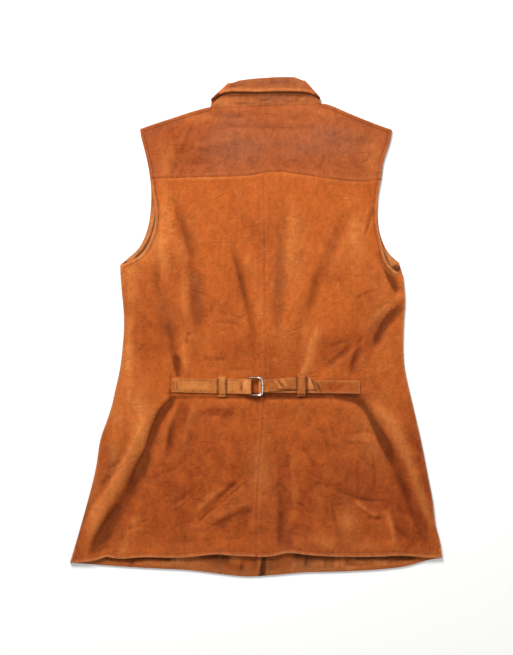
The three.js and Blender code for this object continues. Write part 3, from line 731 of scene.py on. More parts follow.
SKIRT_FOLDS = [
    (-2.6, 7, [
        (-116, -96), (-132, -115), (-150, -132), (-163, -160), (-172, -190), (-183, -220), (-197, -250),
    ]),
    (-2.7, 12, [
        (-172, -190), (-183, -220), (-197, -248), (-215, -275), (-235, -305), (-252, -338),
        (-264, -372), (-268, -392),
    ]),
    (2.1, 9, [
        (-146, -112), (-168, -140), (-184, -165), (-198, -195), (-213, -225), (-232, -255),
        (-254, -287), (-274, -322), (-288, -358),
    ]),
    (1.2, 10, [(-182, -296), (-200, -325), (-214, -355), (-220, -375)]),
    (-1.4, 6, [(-110, -104), (-122, -130), (-135, -160), (-140, -190), (-142, -218)]),
    (0.9, 7, [(-92, -112), (-104, -140), (-114, -170), (-116, -206)]),
    (-2.8, 7, [(116, -113), (150, -114), (168, -122), (182, -142), (196, -170), (210, -198), (224, -230)]),
    (-1.1, 8, [
        (196, -170), (210, -198), (224, -230), (238, -262), (250, -295), (262, -328), (272, -362),
        (276, -384),
    ]),
    (2.2, 10, [
        (176, -110), (200, -130), (217, -155), (234, -190), (250, -225), (263, -262), (275, -300),
        (287, -344),
    ]),
    (-0.9, 4, [(-146, -113), (-90, -112), (-40, -112), (6, -114)]),
    (-1.8, 4.5, [(-24, -112), (20, -113), (62, -113), (100, -113)]),
    (-1.2, 4, [(80, -112), (120, -113), (168, -113)]),
    (-0.52, 8, [(50, -174), (40, -220), (36, -260), (40, -300), (44, -340), (48, -378)]),
    (-0.59, 8, [(66, -306), (56, -336), (44, -368)]),
    (0.65, 7, [(60, -190), (58, -225), (60, -262), (66, -300)]),
    (-0.45, 5, [(96, -250), (118, -258), (142, -264), (166, -275), (192, -277)]),
    (-0.45, 7, [(190, -284), (225, -292), (254, -302)]),
    (0.78, 10, [(80, -326), (105, -345), (134, -353)]),
    (0.65, 9, [(158, -350), (180, -354), (204, -352)]),
    (-0.42, 5, [(-116, -320), (-88, -294), (-60, -270), (-34, -246), (-14, -232)]),
    (0.59, 6, [(-104, -302), (-78, -280), (-50, -256), (-24, -236)]),
    (-0.33, 5, [(-76, -334), (-50, -315), (-24, -302), (2, -295)]),
    (-0.33, 5, [(-170, -244), (-144, -230), (-116, -214), (-96, -200)]),
    (-0.33, 6, [(-88, -134), (-60, -139), (-28, -136)]),
    (-0.39, 5, [(82, -120), (100, -150), (112, -175), (119, -208)]),
    (-0.52, 7, [(-150, -340), (-120, -344), (-90, -338)]),
    (-0.55, 4, [(-142, -288), (-120, -275), (-104, -264), (-83, -243)]),
    (-0.7, 3.5, [(-99, -320), (-80, -299), (-61, -277), (-35, -251), (-22, -240)]),
    (0.55, 4.5, [(-112, -315), (-93, -294), (-74, -274), (-48, -250)]),
    (-0.55, 4, [(-64, -320), (-43, -307), (-24, -299), (-2, -294)]),
    (0.39, 4, [(-67, -307), (-45, -294), (-22, -285), (0, -280)]),
    (-0.39, 3, [(-64, -262), (-54, -254), (-42, -253), (-26, -258)]),
    (-0.7, 3, [(-205, -326), (-195, -320), (-181, -317)]),
    (-0.47, 3, [(-243, -234), (-229, -222), (-211, -211)]),
    (-0.39, 2.5, [(-251, -254), (-240, -246), (-229, -238)]),
    (-0.31, 2.5, [(-166, -242), (-150, -235), (-136, -230), (-120, -224)]),
    (-0.31, 2.5, [(-165, -227), (-146, -221), (-128, -219)]),
    (-0.31, 2.5, [(-83, -133), (-69, -136), (-53, -133)]),
    (-0.39, 2.5, [(-78, -139), (-67, -142), (-54, -139)]),
    (-0.31, 2.5, [(-45, -130), (-29, -133), (-13, -131)]),
    (-0.5, 1.6, [(-101, -317), (-76, -299), (-50, -276), (-23, -254), (-6, -237)]),
    (-0.45, 1.6, [(-88, -331), (-60, -312), (-32, -299), (-2, -289)]),
    (-0.4, 1.4, [(-136, -300), (-112, -281), (-92, -262), (-70, -246)]),
    (-0.5, 1.6, [(-206, -325), (-190, -313), (-168, -309)]),
    (-0.4, 1.4, [(58, -276), (72, -284), (86, -298), (104, -304)]),
    (-0.45, 1.6, [(160, -288), (178, -300), (194, -305), (212, -308)]),
    (-0.35, 1.4, [(84, -258), (98, -250), (112, -252)]),
    (-0.35, 1.4, [(132, -178), (150, -187), (172, -186), (188, -192)]),
    (-0.35, 1.4, [(-92, -345), (-62, -336), (-36, -340), (-12, -334)]),
    (-0.39, 3, [(162, -165), (178, -166), (194, -174)]),
    (-0.31, 2.5, [(144, -174), (155, -168), (168, -170)]),
    (0.39, 4, [(150, -184), (166, -178), (186, -184)]),
    (-0.47, 3, [(118, -266), (122, -296), (130, -325), (134, -349)]),
    (-0.55, 3.5, [(106, -251), (120, -254), (142, -251)]),
    (-0.47, 3, [(123, -285), (133, -285), (144, -282)]),
    (0.78, 3.5, [(154, -277), (166, -285), (179, -296), (198, -306)]),
    (-0.78, 3, [(176, -304), (189, -307), (203, -307)]),
    (0.7, 4, [(206, -290), (214, -312), (219, -336), (222, -358)]),
    (-0.55, 4, [(213, -288), (222, -312), (227, -334)]),
    (-0.47, 3, [(24, -266), (32, -256), (40, -251), (51, -269)]),
    (-0.47, 3.5, [(72, -189), (83, -205), (96, -226)]),
    (-0.62, 4, [(40, -290), (38, -315), (37, -341), (37, -357)]),
    (-0.31, 3, [(114, -142), (122, -165), (126, -187)]),
    (-0.39, 3.5, [(139, -253), (150, -238), (163, -229)]),
    (-0.39, 3, [(-2, -267), (10, -266), (21, -270)]),
    (-0.39, 3.5, [(218, -314), (237, -334), (262, -352)]),
    (-0.39, 4, [(70, -117), (80, -139), (93, -158)]),
    (-0.31, 3, [(64, -254), (80, -270), (90, -290)]),
]

# Painted shadow and dirt: under the belt, at its left end and along the top of its right strap, and a
# paler line painted along the yoke seam
SHADOW_AND_SOIL = [
    (-0.9, 1.6, [(-160, -106), (-90, -107), (-30, -108.5), (20, -108.5)]),
    (-1.8, 2.2, [(-34, -108.5), (20, -108), (60, -107.5), (110, -108.5), (150, -108.5), (196, -108.5)]),
    (-1.0, 2.4, [(-20, -111), (20, -111), (60, -110), (110, -111)]),
    (-0.7, 3, [(-137, -70), (-138, -95), (-138, -118)]),
    (-0.3, 2, [(100, -84), (140, -84), (180, -85)]),
    (0.35, 1.8, [(-180, 236), (-60, 236), (0, 243), (60, 242), (230, 234)]),
]

# The edge of a pocket on the front, which prints through the right of the skirt
POCKET_PRINT = [
    (-0.4, 2.6, [(186, -196), (189, -237), (189, -276)]),
    (-0.25, 2.6, [(162, -200), (162, -230), (163, -272)]),
    (-0.7, 2.2, [(146, -270), (168, -276), (189, -279), (205, -277), (220, -281)]),
]

# Soft stains and worn places: kind, middle, half sizes and strength
BACK_STAINS = [
    ("pale", -150, 150, 14, 60, 0.55),
    ("red", -165, -15, 36, 50, 0.55),
    ("pale", -200, 62, 10, 40, 0.4),
    ("pale", -204, -40, 6, 60, 0.5),
    ("pale", -216, 88, 22, 20, 0.6),
    ("pale", -168, 128, 14, 36, 0.4),
    ("pale", -226, -190, 12, 70, 0.3),
    ("brown", -234, -226, 13, 40, 0.3),
    ("pale", -258, -290, 12, 50, 0.4),
    ("brown", -106, 150, 14, 34, 0.25),
    ("brown", -140, 18, 20, 44, 0.3),
    ("brown", -94, 40, 10, 46, 0.3),
    ("red", -34, 60, 18, 60, 0.45),
    ("red", -30, -35, 50, 26, 0.5),
    ("brown", 36, 100, 10, 90, 0.45),
    ("pale", 60, 120, 20, 60, 0.35),
    ("pale", 160, 140, 14, 50, 0.5),
    ("brown", 125, 118, 12, 36, 0.25),
    ("red", 128, -32, 40, 26, 0.65),
    ("pale", 84, -30, 10, 34, 0.4),
    ("pale", 212, 96, 6, 8, 0.9),
    ("pale", 222, 88, 8, 5, 0.9),
    ("pale", 204, 116, 4, 14, 0.8),
    ("pale", -192, 116, 16, 8, 0.8),
    ("brown", 200, 0, 14, 24, 0.5),
    ("brown", 200, 70, 24, 50, 0.25),
    ("pale", -186, -150, 16, 70, 0.45),
    ("pale", -215, -90, 20, 60, 0.3),
    ("brown", -232, -226, 9, 24, 0.75),
    ("brown", -226, -330, 24, 22, 0.35),
    ("red", -110, -150, 12, 40, 0.6),
    ("red", -54, -138, 36, 9, 0.6),
    # Darker and redder over the lower skirt, and more so towards its right edge
    ("red", 0, -260, 420, 130, 0.8),
    ("red", 250, -280, 30, 90, 0.9),
    ("brown", 262, -300, 20, 70, 0.4),
    ("red", 200, -190, 24, 60, 0.4),
    ("brown", 68, -342, 36, 18, 0.55),
    ("brown", 150, -345, 34, 20, 0.55),
    ("pale", 146, -310, 16, 26, 0.4),
    ("pale", 8, -235, 20, 50, 0.35),
    ("brown", 172, -252, 22, 24, 0.45),
    ("red", 176, -235, 13, 36, 0.5),
    ("brown", 48, -345, 8, 26, 0.5),
    ("brown", 40, -300, 18, 40, 0.35),
    ("brown", -10, -300, 18, 14, 0.3),
    ("pale", 190, -160, 30, 60, 0.3),
    ("brown", 150, -235, 56, 60, 0.25),
    ("red", -180, -20, 16, 60, 0.3),
]


def belt_share(places):
    """1 where the belt lies on the back and holds it level, 0 away from it."""
    gap = np.abs(places[:, 1] / MM - BELT_PLACE["line"]) - BELT_PLACE["half_width"]
    beside = np.maximum(BELT_PLACE["from_x"] - places[:, 0] / MM, places[:, 0] / MM - BELT_PLACE["to_x"])
    return (1 - eased(gap, 0, BELT_PLACE["ramp"])) * (1 - eased(beside, 0, BELT_PLACE["ramp"]))


def finish_back(skin, material, rim, seams, folds, stains, wall):
    """Creases a skin, sinks its seams, turns its edges, paints its shade, highlights and wear, and gives
    it its wall.
    """
    places = points_of(skin)
    from_rim = distance_to(places, rim)
    from_seam = distance_to(places, seams)
    turned = rim[distance_to(rim, seams) > OFF_SEAM]
    stitched = turned[(turned[:, 1] < SIDE_FROM) | (turned[:, 1] > SIDE_TO)]
    from_turned = distance_to(places, stitched)
    creased = height_of_folds(places, folds)
    # Painted shade and highlight along the folds, painted shadow and dirt along the belt, and darker lines
    # at the stitching
    painted_light_and_dirt = FOLD_PAINTED_SHADE * creased / MM + height_of_folds(places, SHADOW_AND_SOIL) / MM
    painted_light_and_dirt -= STITCH_TONE * ridge(from_turned - STITCH_LINE, TONE_WIDTH)
    painted_light_and_dirt -= SEAM_STITCH_TONE * ridge(from_seam - SEAM_STITCH_LINE, TONE_WIDTH)
    painted_light_and_dirt += SEAM_LIGHTER * ridge(from_seam, SEAM_LIGHTER_WIDTH)
    under_belt = belt_share(places)
    rise = np.where(creased < 0, creased * eased(from_rim, 0, SETTLING), creased) * (1 - under_belt)
    press = TURNED_RISE * ridge(from_turned - TURNED_EDGE / 2, TURNED_EDGE)
    press -= STITCH_SINK * ridge(from_turned - STITCH_LINE, STITCH_WIDTH)
    press -= SEAM_SINK * ridge(from_seam, SEAM_WIDTH)
    press += TURNED_RISE * ridge(from_seam - SEAM_BANK, SEAM_BANK_WIDTH)
    press *= 1 - BELT_PRESS * under_belt
    thickness = wall(places) + press
    room = room_to(places, front_solids, -1) - thickness
    places[:, 2] += np.maximum(rise + press, -np.maximum(room, 0))
    move_points(skin, places)
    paint_shade_and_wear(skin, turned, stains, painted_light_and_dirt)
    give_wall(skin, thickness)
    dress(skin, material)


def back_wall(places):
    """Thickness of the back: twice the leather where the hem is turned up."""
    return LEATHER * (2 - eased(distance_to(places, back_hem_line), HEM_DEPTH - HEM_STEP, HEM_DEPTH))


back_suede = suede(
    "back suede",
    base=(179, 89, 36), deep=(142, 62, 25), brown=(144, 78, 44), pale=(204, 122, 62),
    dark=(84, 34, 13), edge=(198, 136, 92), patchiness=0.6,
)
back_skins = {name: skin_of(name) for name in BACK_PANELS}
yoke_skin = skin_of("back_yoke")
stand_skin = skin_of("collar_stand")
close_seams({**back_skins, "back_yoke": yoke_skin, "collar_stand": stand_skin})
back_rims = {name: points_of(skin)[outline_of(skin)] for name, skin in back_skins.items()}
yoke_rim = points_of(yoke_skin)[outline_of(yoke_skin)]
stand_rim = points_of(stand_skin)[outline_of(stand_skin)]
front_solids = tree_of(FRONT_PANELS)
back_hem_line = np.vstack([rim[rim[:, 1] < SIDE_FROM] for rim in back_rims.values()])
for name, (width, length, area) in BACK_PANELS.items():
    skin = back_skins[name]
    rim = back_rims[name]
    neighbours = [yoke_rim] + [other for key, other in back_rims.items() if key != name]
    seams = rim[distance_to(rim, np.vstack(neighbours)) < SEAM_REACH]
    folds = BACK_FOLDS + SKIRT_FOLDS + POCKET_PRINT
    finish_back(skin, back_suede, rim, seams, folds, BACK_STAINS, back_wall)
    settle(skin, name)
    leather_pieces[name] = skin

# Yoke: one piece across both shoulders, joined to the back panels by a seam that rises in the
# middle, and to the fronts at the shoulders. Wear has left it browner and duller than the back.
YOKE_FOLDS = [
    (-0.59, 3.5, [(-99, 330), (-109, 306), (-117, 288), (-123, 272)]),
    (0.46, 4, [(-109, 325), (-118, 302), (-126, 280)]),
    (-0.86, 3.5, [(-115, 261), (-122, 242), (-128, 224), (-131, 206), (-134, 197)]),
    (0.59, 4.5, [(-125, 254), (-133, 232), (-139, 210)]),
    (0.4, 3, [(-122, 229), (-125, 216), (-128, 205)]),
    (-0.4, 3.5, [(101, 248), (106, 261), (112, 274)]),
    (-0.4, 3, [(125, 304), (141, 299), (160, 293)]),
    (-0.33, 3, [(112, 299), (134, 312), (154, 320)]),
    (-0.33, 3, [(173, 262), (181, 270), (186, 280)]),
    (-0.26, 3, [(32, 328), (58, 333), (77, 338)]),
    (-0.33, 4, [(-54, 328), (-32, 318), (-16, 322)]),
    (-0.4, 4, [(-112, 290), (-90, 283), (-67, 278)]),
    (0.36, 5, [(-90, 270), (-64, 267), (-38, 270)]),
    (-0.26, 3, [(-10, 318), (3, 299), (10, 280)]),
    (-0.6, 5, [(-78, 338), (-45, 336), (-5, 338)]),
    (-0.6, 7, [(-146, 256), (-105, 261), (-60, 267), (-26, 273)]),
    (0.54, 8, [(-112, 286), (-70, 294), (-26, 304)]),
    (-0.42, 6, [(-100, 318), (-30, 322), (40, 318), (130, 322)]),
    (0.6, 5, [(-130, 306), (-138, 270), (-144, 240)]),
    (0.48, 7, [(-60, 347), (0, 346), (60, 348), (120, 344)]),
    (-0.48, 7, [(150, 300), (180, 296), (206, 300)]),
    (0.48, 7, [(20, 300), (70, 298), (120, 288)]),
]
YOKE_STAINS = [
    ("brown", -70, 283, 60, 30, 0.75),
    ("brown", -34, 300, 40, 26, 0.4),
    ("brown", 134, 302, 50, 24, 0.75),
    ("brown", 80, 285, 50, 26, 0.4),
    ("brown", -150, 318, 26, 14, 0.5),
    ("brown", -40, 334, 30, 10, 0.5),
    ("pale", -140, 262, 18, 26, 0.5),
    ("red", -122, 288, 50, 44, 1.0),
    ("brown", -138, 292, 26, 30, 0.35),
    ("brown", 4, 292, 70, 34, 0.35),
    ("pale", 190, 268, 14, 30, 0.55),
    ("pale", -100, 336, 40, 8, 0.5),
    ("pale", 150, 345, 60, 8, 0.4),
    ("red", 60, 262, 60, 12, 0.4),
]
yoke_suede = suede(
    "yoke suede",
    base=(163, 84, 44), deep=(150, 70, 31), brown=(150, 84, 54), pale=(194, 108, 52),
    dark=(90, 38, 17), edge=(164, 92, 54), patchiness=0.5,
)
seams = yoke_rim[distance_to(yoke_rim, np.vstack([*back_rims.values(), stand_rim])) < SEAM_REACH]
finish_back(
    yoke_skin, yoke_suede, yoke_rim, seams, YOKE_FOLDS, YOKE_STAINS,
    lambda places: np.full(len(places), LEATHER),
)
settle(yoke_skin, "back_yoke")
leather_pieces["back_yoke"] = yoke_skin

# Collar: a stand sewn to the neck edge and a leaf turned down over it. Both turn round the neck's sides
# and run on under the fronts. The leaf's free edge is rolled. Shade is painted where its ends turn under,
# and under its edge on the stand.
COLLAR = {
    "collar_stand": (0.460, 0.042, 0.0158),
    "collar_leaf": (0.560, 0.072, 0.0190),
}

# The leaf's rolled edge, its corners in millimetres, rounded between these distances from them, the
# height from which a point is on the back half, and where the free edge lies
LEAF_ROLL = 1.3 * MM
LEAF_ROLL_LINE = 2.5 * MM
LEAF_CORNERS = [(-39, 391), (73, 396), (-72, 361), (103, 363)]
CORNER_INNER = 5 * MM
CORNER_OUTER = 12 * MM
CORNER_ROUNDS = 60
BACK_HALF_FROM = 4.0 * MM
BACK_HALF_STEP = 0.6 * MM
FREE_EDGE_BELOW = 379 * MM
FREE_EDGE_ABOVE = 5 * MM
# Painted shade and highlights on the collar: the leaf's shadow on the stand, shade at the leaf's ends and
# in creases, and paler lines painted along the leaf's rolled edge and on the stand
COLLAR_SHADE = {
    "collar_stand": [
        (-1.3, 5, [(-84, 366), (-56, 373), (0, 372), (50, 373), (90, 372), (112, 362)]),
        (-0.5, 1.4, [(-8, 362), (8, 361), (26, 363)]),
        (-0.5, 1.4, [(-14, 358), (6, 357.5), (30, 359)]),
        (-0.4, 1.4, [(-44, 359), (-24, 358), (-8, 360)]),
        (-0.4, 1.4, [(40, 362), (56, 360), (74, 363)]),
        (0.5, 1.6, [(-30, 361), (0, 360), (34, 361)]),
    ],
    "collar_leaf": [
        (-1.5, 4, [(-82, 356), (-74, 362), (-64, 370), (-56, 376)]),
        (-1.5, 4, [(90, 375), (98, 369), (104, 362), (110, 356)]),
        (-0.5, 3, [(-48, 386), (-30, 385), (-14, 388)]),
        (0.5, 2.5, [(-50, 380), (-10, 380), (40, 380), (84, 379)]),
    ],
}
COLLAR_CREASES = [
    (-0.5, 3.0, [(-52, 388), (-36, 386), (-20, 389)]),
    (0.4, 4.0, [(8, 384), (30, 383), (52, 386)]),
    (-0.4, 3.0, [(20, 392), (34, 390), (46, 392)]),
    (0.3, 5.0, [(-30, 393), (0, 394), (24, 395)]),
]
STAND_CREASES = [
    (-0.5, 1.8, [(2, 361), (12, 362), (22, 363)]),
    (0.4, 2.0, [(-8, 358), (8, 358), (24, 359)]),
    (-0.5, 2.0, [(-38, 356), (-20, 356), (-6, 358)]),
    (-0.5, 2.0, [(62, 362), (68, 366), (76, 372)]),
    (0.4, 2.0, [(70, 359), (76, 364), (82, 369)]),
]
COLLAR_STAINS = [
    ("brown", 34, 392, 16, 8, 0.6),
    ("brown", 30, 365, 26, 8, 0.8),
    ("pale", -40, 384, 20, 6, 0.3),
    ("brown", 0, 390, 90, 9, 0.4),
    ("pale", 0, 377, 70, 3, 0.6),
    ("pale", -50, 360, 20, 6, 0.4),
]
collar_suede = suede(
    "collar suede",
    base=(163, 89, 47), deep=(146, 70, 34), brown=(138, 78, 50), pale=(200, 116, 60),
    dark=(84, 36, 17), edge=(170, 98, 58), patchiness=0.5,
)
leaf_skin = skin_of("collar_leaf", cut_corners=False)
corners = leaf_skin.vertex_groups.new(name="corners")
from_corner = distance_to(points_of(leaf_skin), np.array(LEAF_CORNERS) * MM)
for i, share in enumerate(1 - eased(from_corner, CORNER_INNER, CORNER_OUTER)):
    corners.add([i], float(share), "REPLACE")
apply_modifier(leaf_skin, "SMOOTH", factor=0.5, iterations=CORNER_ROUNDS, vertex_group="corners")
for name, skin, creases in (
    ("collar_stand", stand_skin, STAND_CREASES), ("collar_leaf", leaf_skin, COLLAR_CREASES),
):
    width, length, area = COLLAR[name]
    places = points_of(skin)
    rim = places[outline_of(skin)]
    on_back = eased(places[:, 2], BACK_HALF_FROM, BACK_HALF_FROM + BACK_HALF_STEP)
    rise = height_of_folds(places, creases) * on_back
    if name == "collar_leaf":
        free_edge = rim[(rim[:, 1] < FREE_EDGE_BELOW) & (rim[:, 2] > FREE_EDGE_ABOVE)]
        from_edge = distance_to(places, free_edge)
        rise += LEAF_ROLL * ridge(from_edge - LEAF_ROLL_LINE, LEAF_ROLL_LINE) * on_back
        rise = np.maximum(rise, 0)
    places[:, 2] += rise
    move_points(skin, places)
    shade = height_of_folds(places, COLLAR_SHADE[name]) / MM
    paint_shade_and_wear(skin, rim[distance_to(rim, yoke_rim) > 2 * SEAM_REACH], COLLAR_STAINS, shade)
    give_wall(skin, np.full(len(places), LEATHER))
    dress(skin, collar_suede)
    settle(skin, name)
    leather_pieces[name] = skin

# Half belt: two straps of folded suede, each sewn down at its outer end, with a row of stitches
# along both edges. The left one holds the rings. The right one is threaded through them and its
# free tip through a loop. Both loops are narrow strips that are sewn down above and below.
STRAPS = {
    "belt_loop_left": (0.0124, 0.034, 0.00042),
    "belt_loop_right": (0.0134, 0.037, 0.00049),
    "belt_strap_left": (0.160, 0.024, 0.00345),
    "belt_strap_right": (0.290, 0.021, 0.00560),
}
STRAP_PRESS = 0.25 * MM
STRAP_PRESS_LINE = 2.4 * MM
STRAP_PRESS_WIDTH = 0.9 * MM
STRAP_SIDE = 0.5
STRAP_TOP = 0.9
STRAP_CREASES = [
    (0.9, 2.2, [(28, -84), (33, -90), (38, -96), (42, -103)]),
    (-0.7, 2.0, [(33, -83), (38, -90), (43, -98)]),
    (0.6, 2.0, [(40, -83), (45, -89), (50, -97)]),
    (-0.5, 2.5, [(52, -84), (54, -92), (57, -100)]),
    (0.4, 4.0, [(20, -98), (26, -94), (30, -90)]),
    (-0.4, 3.0, [(-76, -88), (-72, -94), (-74, -101)]),
    (0.4, 4.0, [(-104, -87), (-100, -94), (-103, -101)]),
    (-0.4, 3.0, [(110, -90), (116, -96), (114, -103)]),
    (0.4, 4.0, [(134, -89), (138, -96), (136, -103)]),
]
STRAP_STAINS_AND_HIGHLIGHTS = [
    ("red", 130, -96, 50, 16, 0.8),
    ("brown", 140, -104, 40, 6, 0.5),
    ("pale", -40, -92, 16, 14, 0.4),
    ("pale", -92, -95, 30, 6, 0.4),
    ("brown", 60, -98, 14, 8, 0.4),
    # A highlight painted on the left strap's folded end, and paler paint inside the rings where they shade
    # the strap
    ("pale", -16, -92, 6, 14, 0.7),
    ("pale", 0, -94, 6, 14, 1.2),
    ("pale", 88, -90, 5, 14, 0.8),
    ("pale", -54, -82, 6, 6, 0.5),
    ("brown", 74, -90, 5, 16, 0.4),
]

# Painted shade and dirt on the belt: beside its loops, under its free tip, between its layers and in its
# creases, and painted highlights on its creases and on a layer's edge
STRAP_SHADE = [
    (-1.6, 1.6, [(-62, -78), (-61.8, -95), (-62, -112)]),
    (-1.6, 1.6, [(-46.8, -112), (-47, -95), (-46.8, -78)]),
    (-1.8, 1.6, [(64.6, -74), (64.8, -92), (64.6, -110)]),
    (-3.0, 1.8, [(82.4, -110), (81.6, -92), (81, -74)]),
    (-2.2, 1.3, [(30, -100), (46, -101), (58, -101), (72, -100.6)]),
    (0.9, 1.2, [(36, -103.4), (52, -103.6), (70, -103)]),
    (-1.4, 1.8, [(97, -106), (93, -92), (85, -76)]),
    (-0.9, 2.0, [(106, -108), (100, -94), (90, -80)]),
    (-2.0, 1.6, [(-6.6, -82), (-6.8, -95), (-6.6, -108)]),
    (-0.8, 1.2, [(-24.4, -84), (-24, -95), (-24.4, -106)]),
    (-0.5, 0.9, [(-128, -84.6), (-96, -85), (-66, -85.4)]),
    (-0.5, 0.9, [(-128, -101.8), (-96, -102.6), (-66, -103.6)]),
    (-0.5, 0.9, [(-44, -85.2), (-34, -85.2), (-24, -85.2)]),
    (-0.7, 0.9, [(-131.4, -84), (-131.6, -94), (-131.4, -104)]),
    (-0.7, 0.9, [(-126.6, -84), (-126.6, -94), (-126.6, -104)]),
    (1.2, 1.6, [(28, -84), (34, -91), (40, -98)]),
    (1.0, 1.6, [(37, -84), (44, -90), (50, -97)]),
    (-0.8, 1.4, [(33, -84), (39, -91), (45, -99)]),
    (0.8, 1.6, [(84, -78), (88, -88), (92, -99)]),
]
strap_suede = suede(
    "strap suede",
    base=(181, 104, 48), deep=(154, 68, 28), brown=(148, 82, 46), pale=(208, 136, 78),
    dark=(88, 42, 20), edge=(182, 112, 62), patchiness=0.6,
)
for name, (width, length, area) in STRAPS.items():
    skin = skin_of(name)
    places = points_of(skin)
    rim = places[outline_of(skin)]
    normals = np.array([point.normal for point in skin.data.vertices])
    facing_up = eased(normals[:, 2], STRAP_SIDE, STRAP_TOP)
    rise = np.maximum(height_of_folds(places, STRAP_CREASES), -STRAP_PRESS) * facing_up
    off_line = distance_to(places, rim) - STRAP_PRESS_LINE
    rise -= STRAP_PRESS * ridge(off_line, STRAP_PRESS_WIDTH) * facing_up
    places[:, 2] += rise
    move_points(skin, places)
    paint_shade_and_wear(skin, rim, STRAP_STAINS_AND_HIGHLIGHTS, height_of_folds(places, STRAP_SHADE) / MM)
    give_wall(skin, LEATHER + rise)
    dress(skin, strap_suede)
    settle(skin, name)
    leather_pieces[name] = skin

# D-rings: two rings of drawn wire, nickel plated, with the bar on the left and the bow on the right. The
# wire is rounder than its solid and the plating is scratched, and a highlight is painted on the bow as
# lighter plating.
WIRE_ROUNDING = 0.35 * MM
# The bow's painted highlight: the plating turns light between these values of X
BOW_FROM = 1 * MM
BOW_TO = 6 * MM


def build_nickel():
    """Worn nickel plate: dulled and finely scratched, with a highlight painted on the bow as lighter
    plating.
    """
    material, tree, shader = start_material("worn nickel, painted bow highlight")
    place = tree.nodes.new("ShaderNodeTexCoord").outputs["Object"]
    along_x = tree.nodes.new("ShaderNodeSeparateXYZ")
    tree.links.new(place, along_x.inputs[0])
    off_bow = spread(tree, along_x.outputs[0], BOW_FROM, BOW_TO, 1.0, 0.0)
    patches = noise(tree, place, scale=260, detail=4, roughness=0.6, distortion=0.3)
    # Dark plating off the bow, where no highlight is painted, and dull worn patches
    dulled_and_shaded = calculate(tree, "MAXIMUM", off_bow, spread(tree, patches, 0.35, 0.65, 0.0, 0.5))
    lengthwise = stretched(tree, place, (1.0, 0.15, 1.0))
    scratches = noise(tree, lengthwise, scale=1500, detail=3, roughness=0.6)
    tree.links.new(blend(tree, dulled_and_shaded, dye(244, 240, 236), dye(108, 92, 80)), shader.inputs["Base Color"])
    tree.links.new(spread(tree, scratches, 0.3, 0.7, 0.2, 0.42), shader.inputs["Roughness"])
    add_bump(tree, shader, scratches, strength=0.25, distance=0.05 * MM)
    shader.inputs["Metallic"].default_value = 1.0
    return material


nickel = build_nickel()
for name in ("d_ring_lower", "d_ring_upper"):
    ring = bpy.data.objects.new(f"round_{name}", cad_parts[name].data.copy())
    bpy.context.collection.objects.link(ring)
    make_active(ring)
    bpy.ops.mesh.customdata_custom_splitnormals_clear()
    bpy.ops.object.mode_set(mode="EDIT")
    bpy.ops.mesh.select_all(action="SELECT")
    bpy.ops.mesh.remove_doubles(threshold=MERGE_DISTANCE)
    bpy.ops.mesh.tris_convert_to_quads(face_threshold=math.pi, shape_threshold=math.pi)
    bpy.ops.object.mode_set(mode="OBJECT")
    apply_modifier(ring, "SUBSURF", levels=1, render_levels=1)
    apply_modifier(ring, "DISPLACE", strength=WIRE_ROUNDING, mid_level=0)
    make_active(ring)
    bpy.ops.object.shade_smooth()
    dress(ring, nickel)
    settle(ring, name)

# Stitching: tan thread in a lockstitch, pulled a little into the leather. It runs along the hems of
# back and fronts, the armholes, both sides of the seams, the collar's edge and the belt's straps.
PITCH = 3.2 * MM
STITCH_LENGTH = 2.5 * MM
THREAD = 0.5 * MM
THREAD_SINK = 0.3 * MM
THREAD_LIFT = 0.06 * MM
STEEPEST = 1.2 * MM
NEEDLE_HEIGHT = 50 * MM
STITCH_FORM = [(0.0, -THREAD_SINK), (0.25, THREAD_LIFT), (0.75, THREAD_LIFT), (1.0, -THREAD_SINK)]
HEM_INSET = 5.5 * MM
ARMHOLE_INSET = 7.5 * MM
SEAM_INSET = 3.2 * MM
LEAF_INSET = 4.5 * MM

# A row leaves out this many of a rim's points at each end
WITHIN_ENDS = slice(2, -2)
WELL_WITHIN_ENDS = slice(3, -3)

# Where the sewn edges lie: between these values of X and of Y, in millimetres
EDGE_PLACES = {
    "back hem": ((-300, 300), (-400, -355)),
    "front hem": ((-235, 235), (-410, -371)),
    "middle seam": ((-4, 300), (-362, 243)),
    "yoke seam": ((-300, 300), (230, 250)),
    "armhole left": ((-300, -159), (103, 312)),
    "armhole right": ((191, 300), (90, 311)),
}

# Rows on the belt and its loops, in millimetres
STRAP_ROWS = {
    "belt_strap_left": [
        [(-131.5, -85.0), (-62.5, -85.3)],
        [(-46.5, -85.3), (-28, -85.4)],
        [(-131.5, -101.9), (-62.5, -103.5)],
        [(-46.5, -103.8), (-28, -104.3)],
        [(-131.5, -86.5), (-131.5, -101)],
        [(-126.5, -86.5), (-126.5, -101)],
    ],
    "belt_strap_right": [
        [(98, -87.5), (163.5, -87.9)],
        [(98, -103.3), (163.5, -104.1)],
        [(163.5, -89), (163.5, -103)],
        [(24, -85.3), (44, -83.9), (63, -82.7)],
        [(82, -82.5), (90, -82.5)],
        [(24, -100.4), (44, -98.8), (63, -97.8)],
        [(82, -97.5), (92, -97.5)],
    ],
    "belt_loop_left": [[(-59.6, -110.0), (-49.2, -110.0)], [(-59.6, -79.0), (-49.2, -79.0)]],
    "belt_loop_right": [[(67.2, -109.2), (78.4, -109.2)], [(67.2, -76.0), (78.4, -76.0)]],
}
FRONT_SEAM_ROWS = {
    "front_side_left": [[(-131.6, -372), (-131.6, -386)]],
    "front_center_left": [[(-126.0, -372), (-126.0, -386)]],
    "front_center_right": [[(130.8, -372), (130.8, -390)]],
    "front_side_right": [[(136.4, -372), (136.4, -390)]],
}


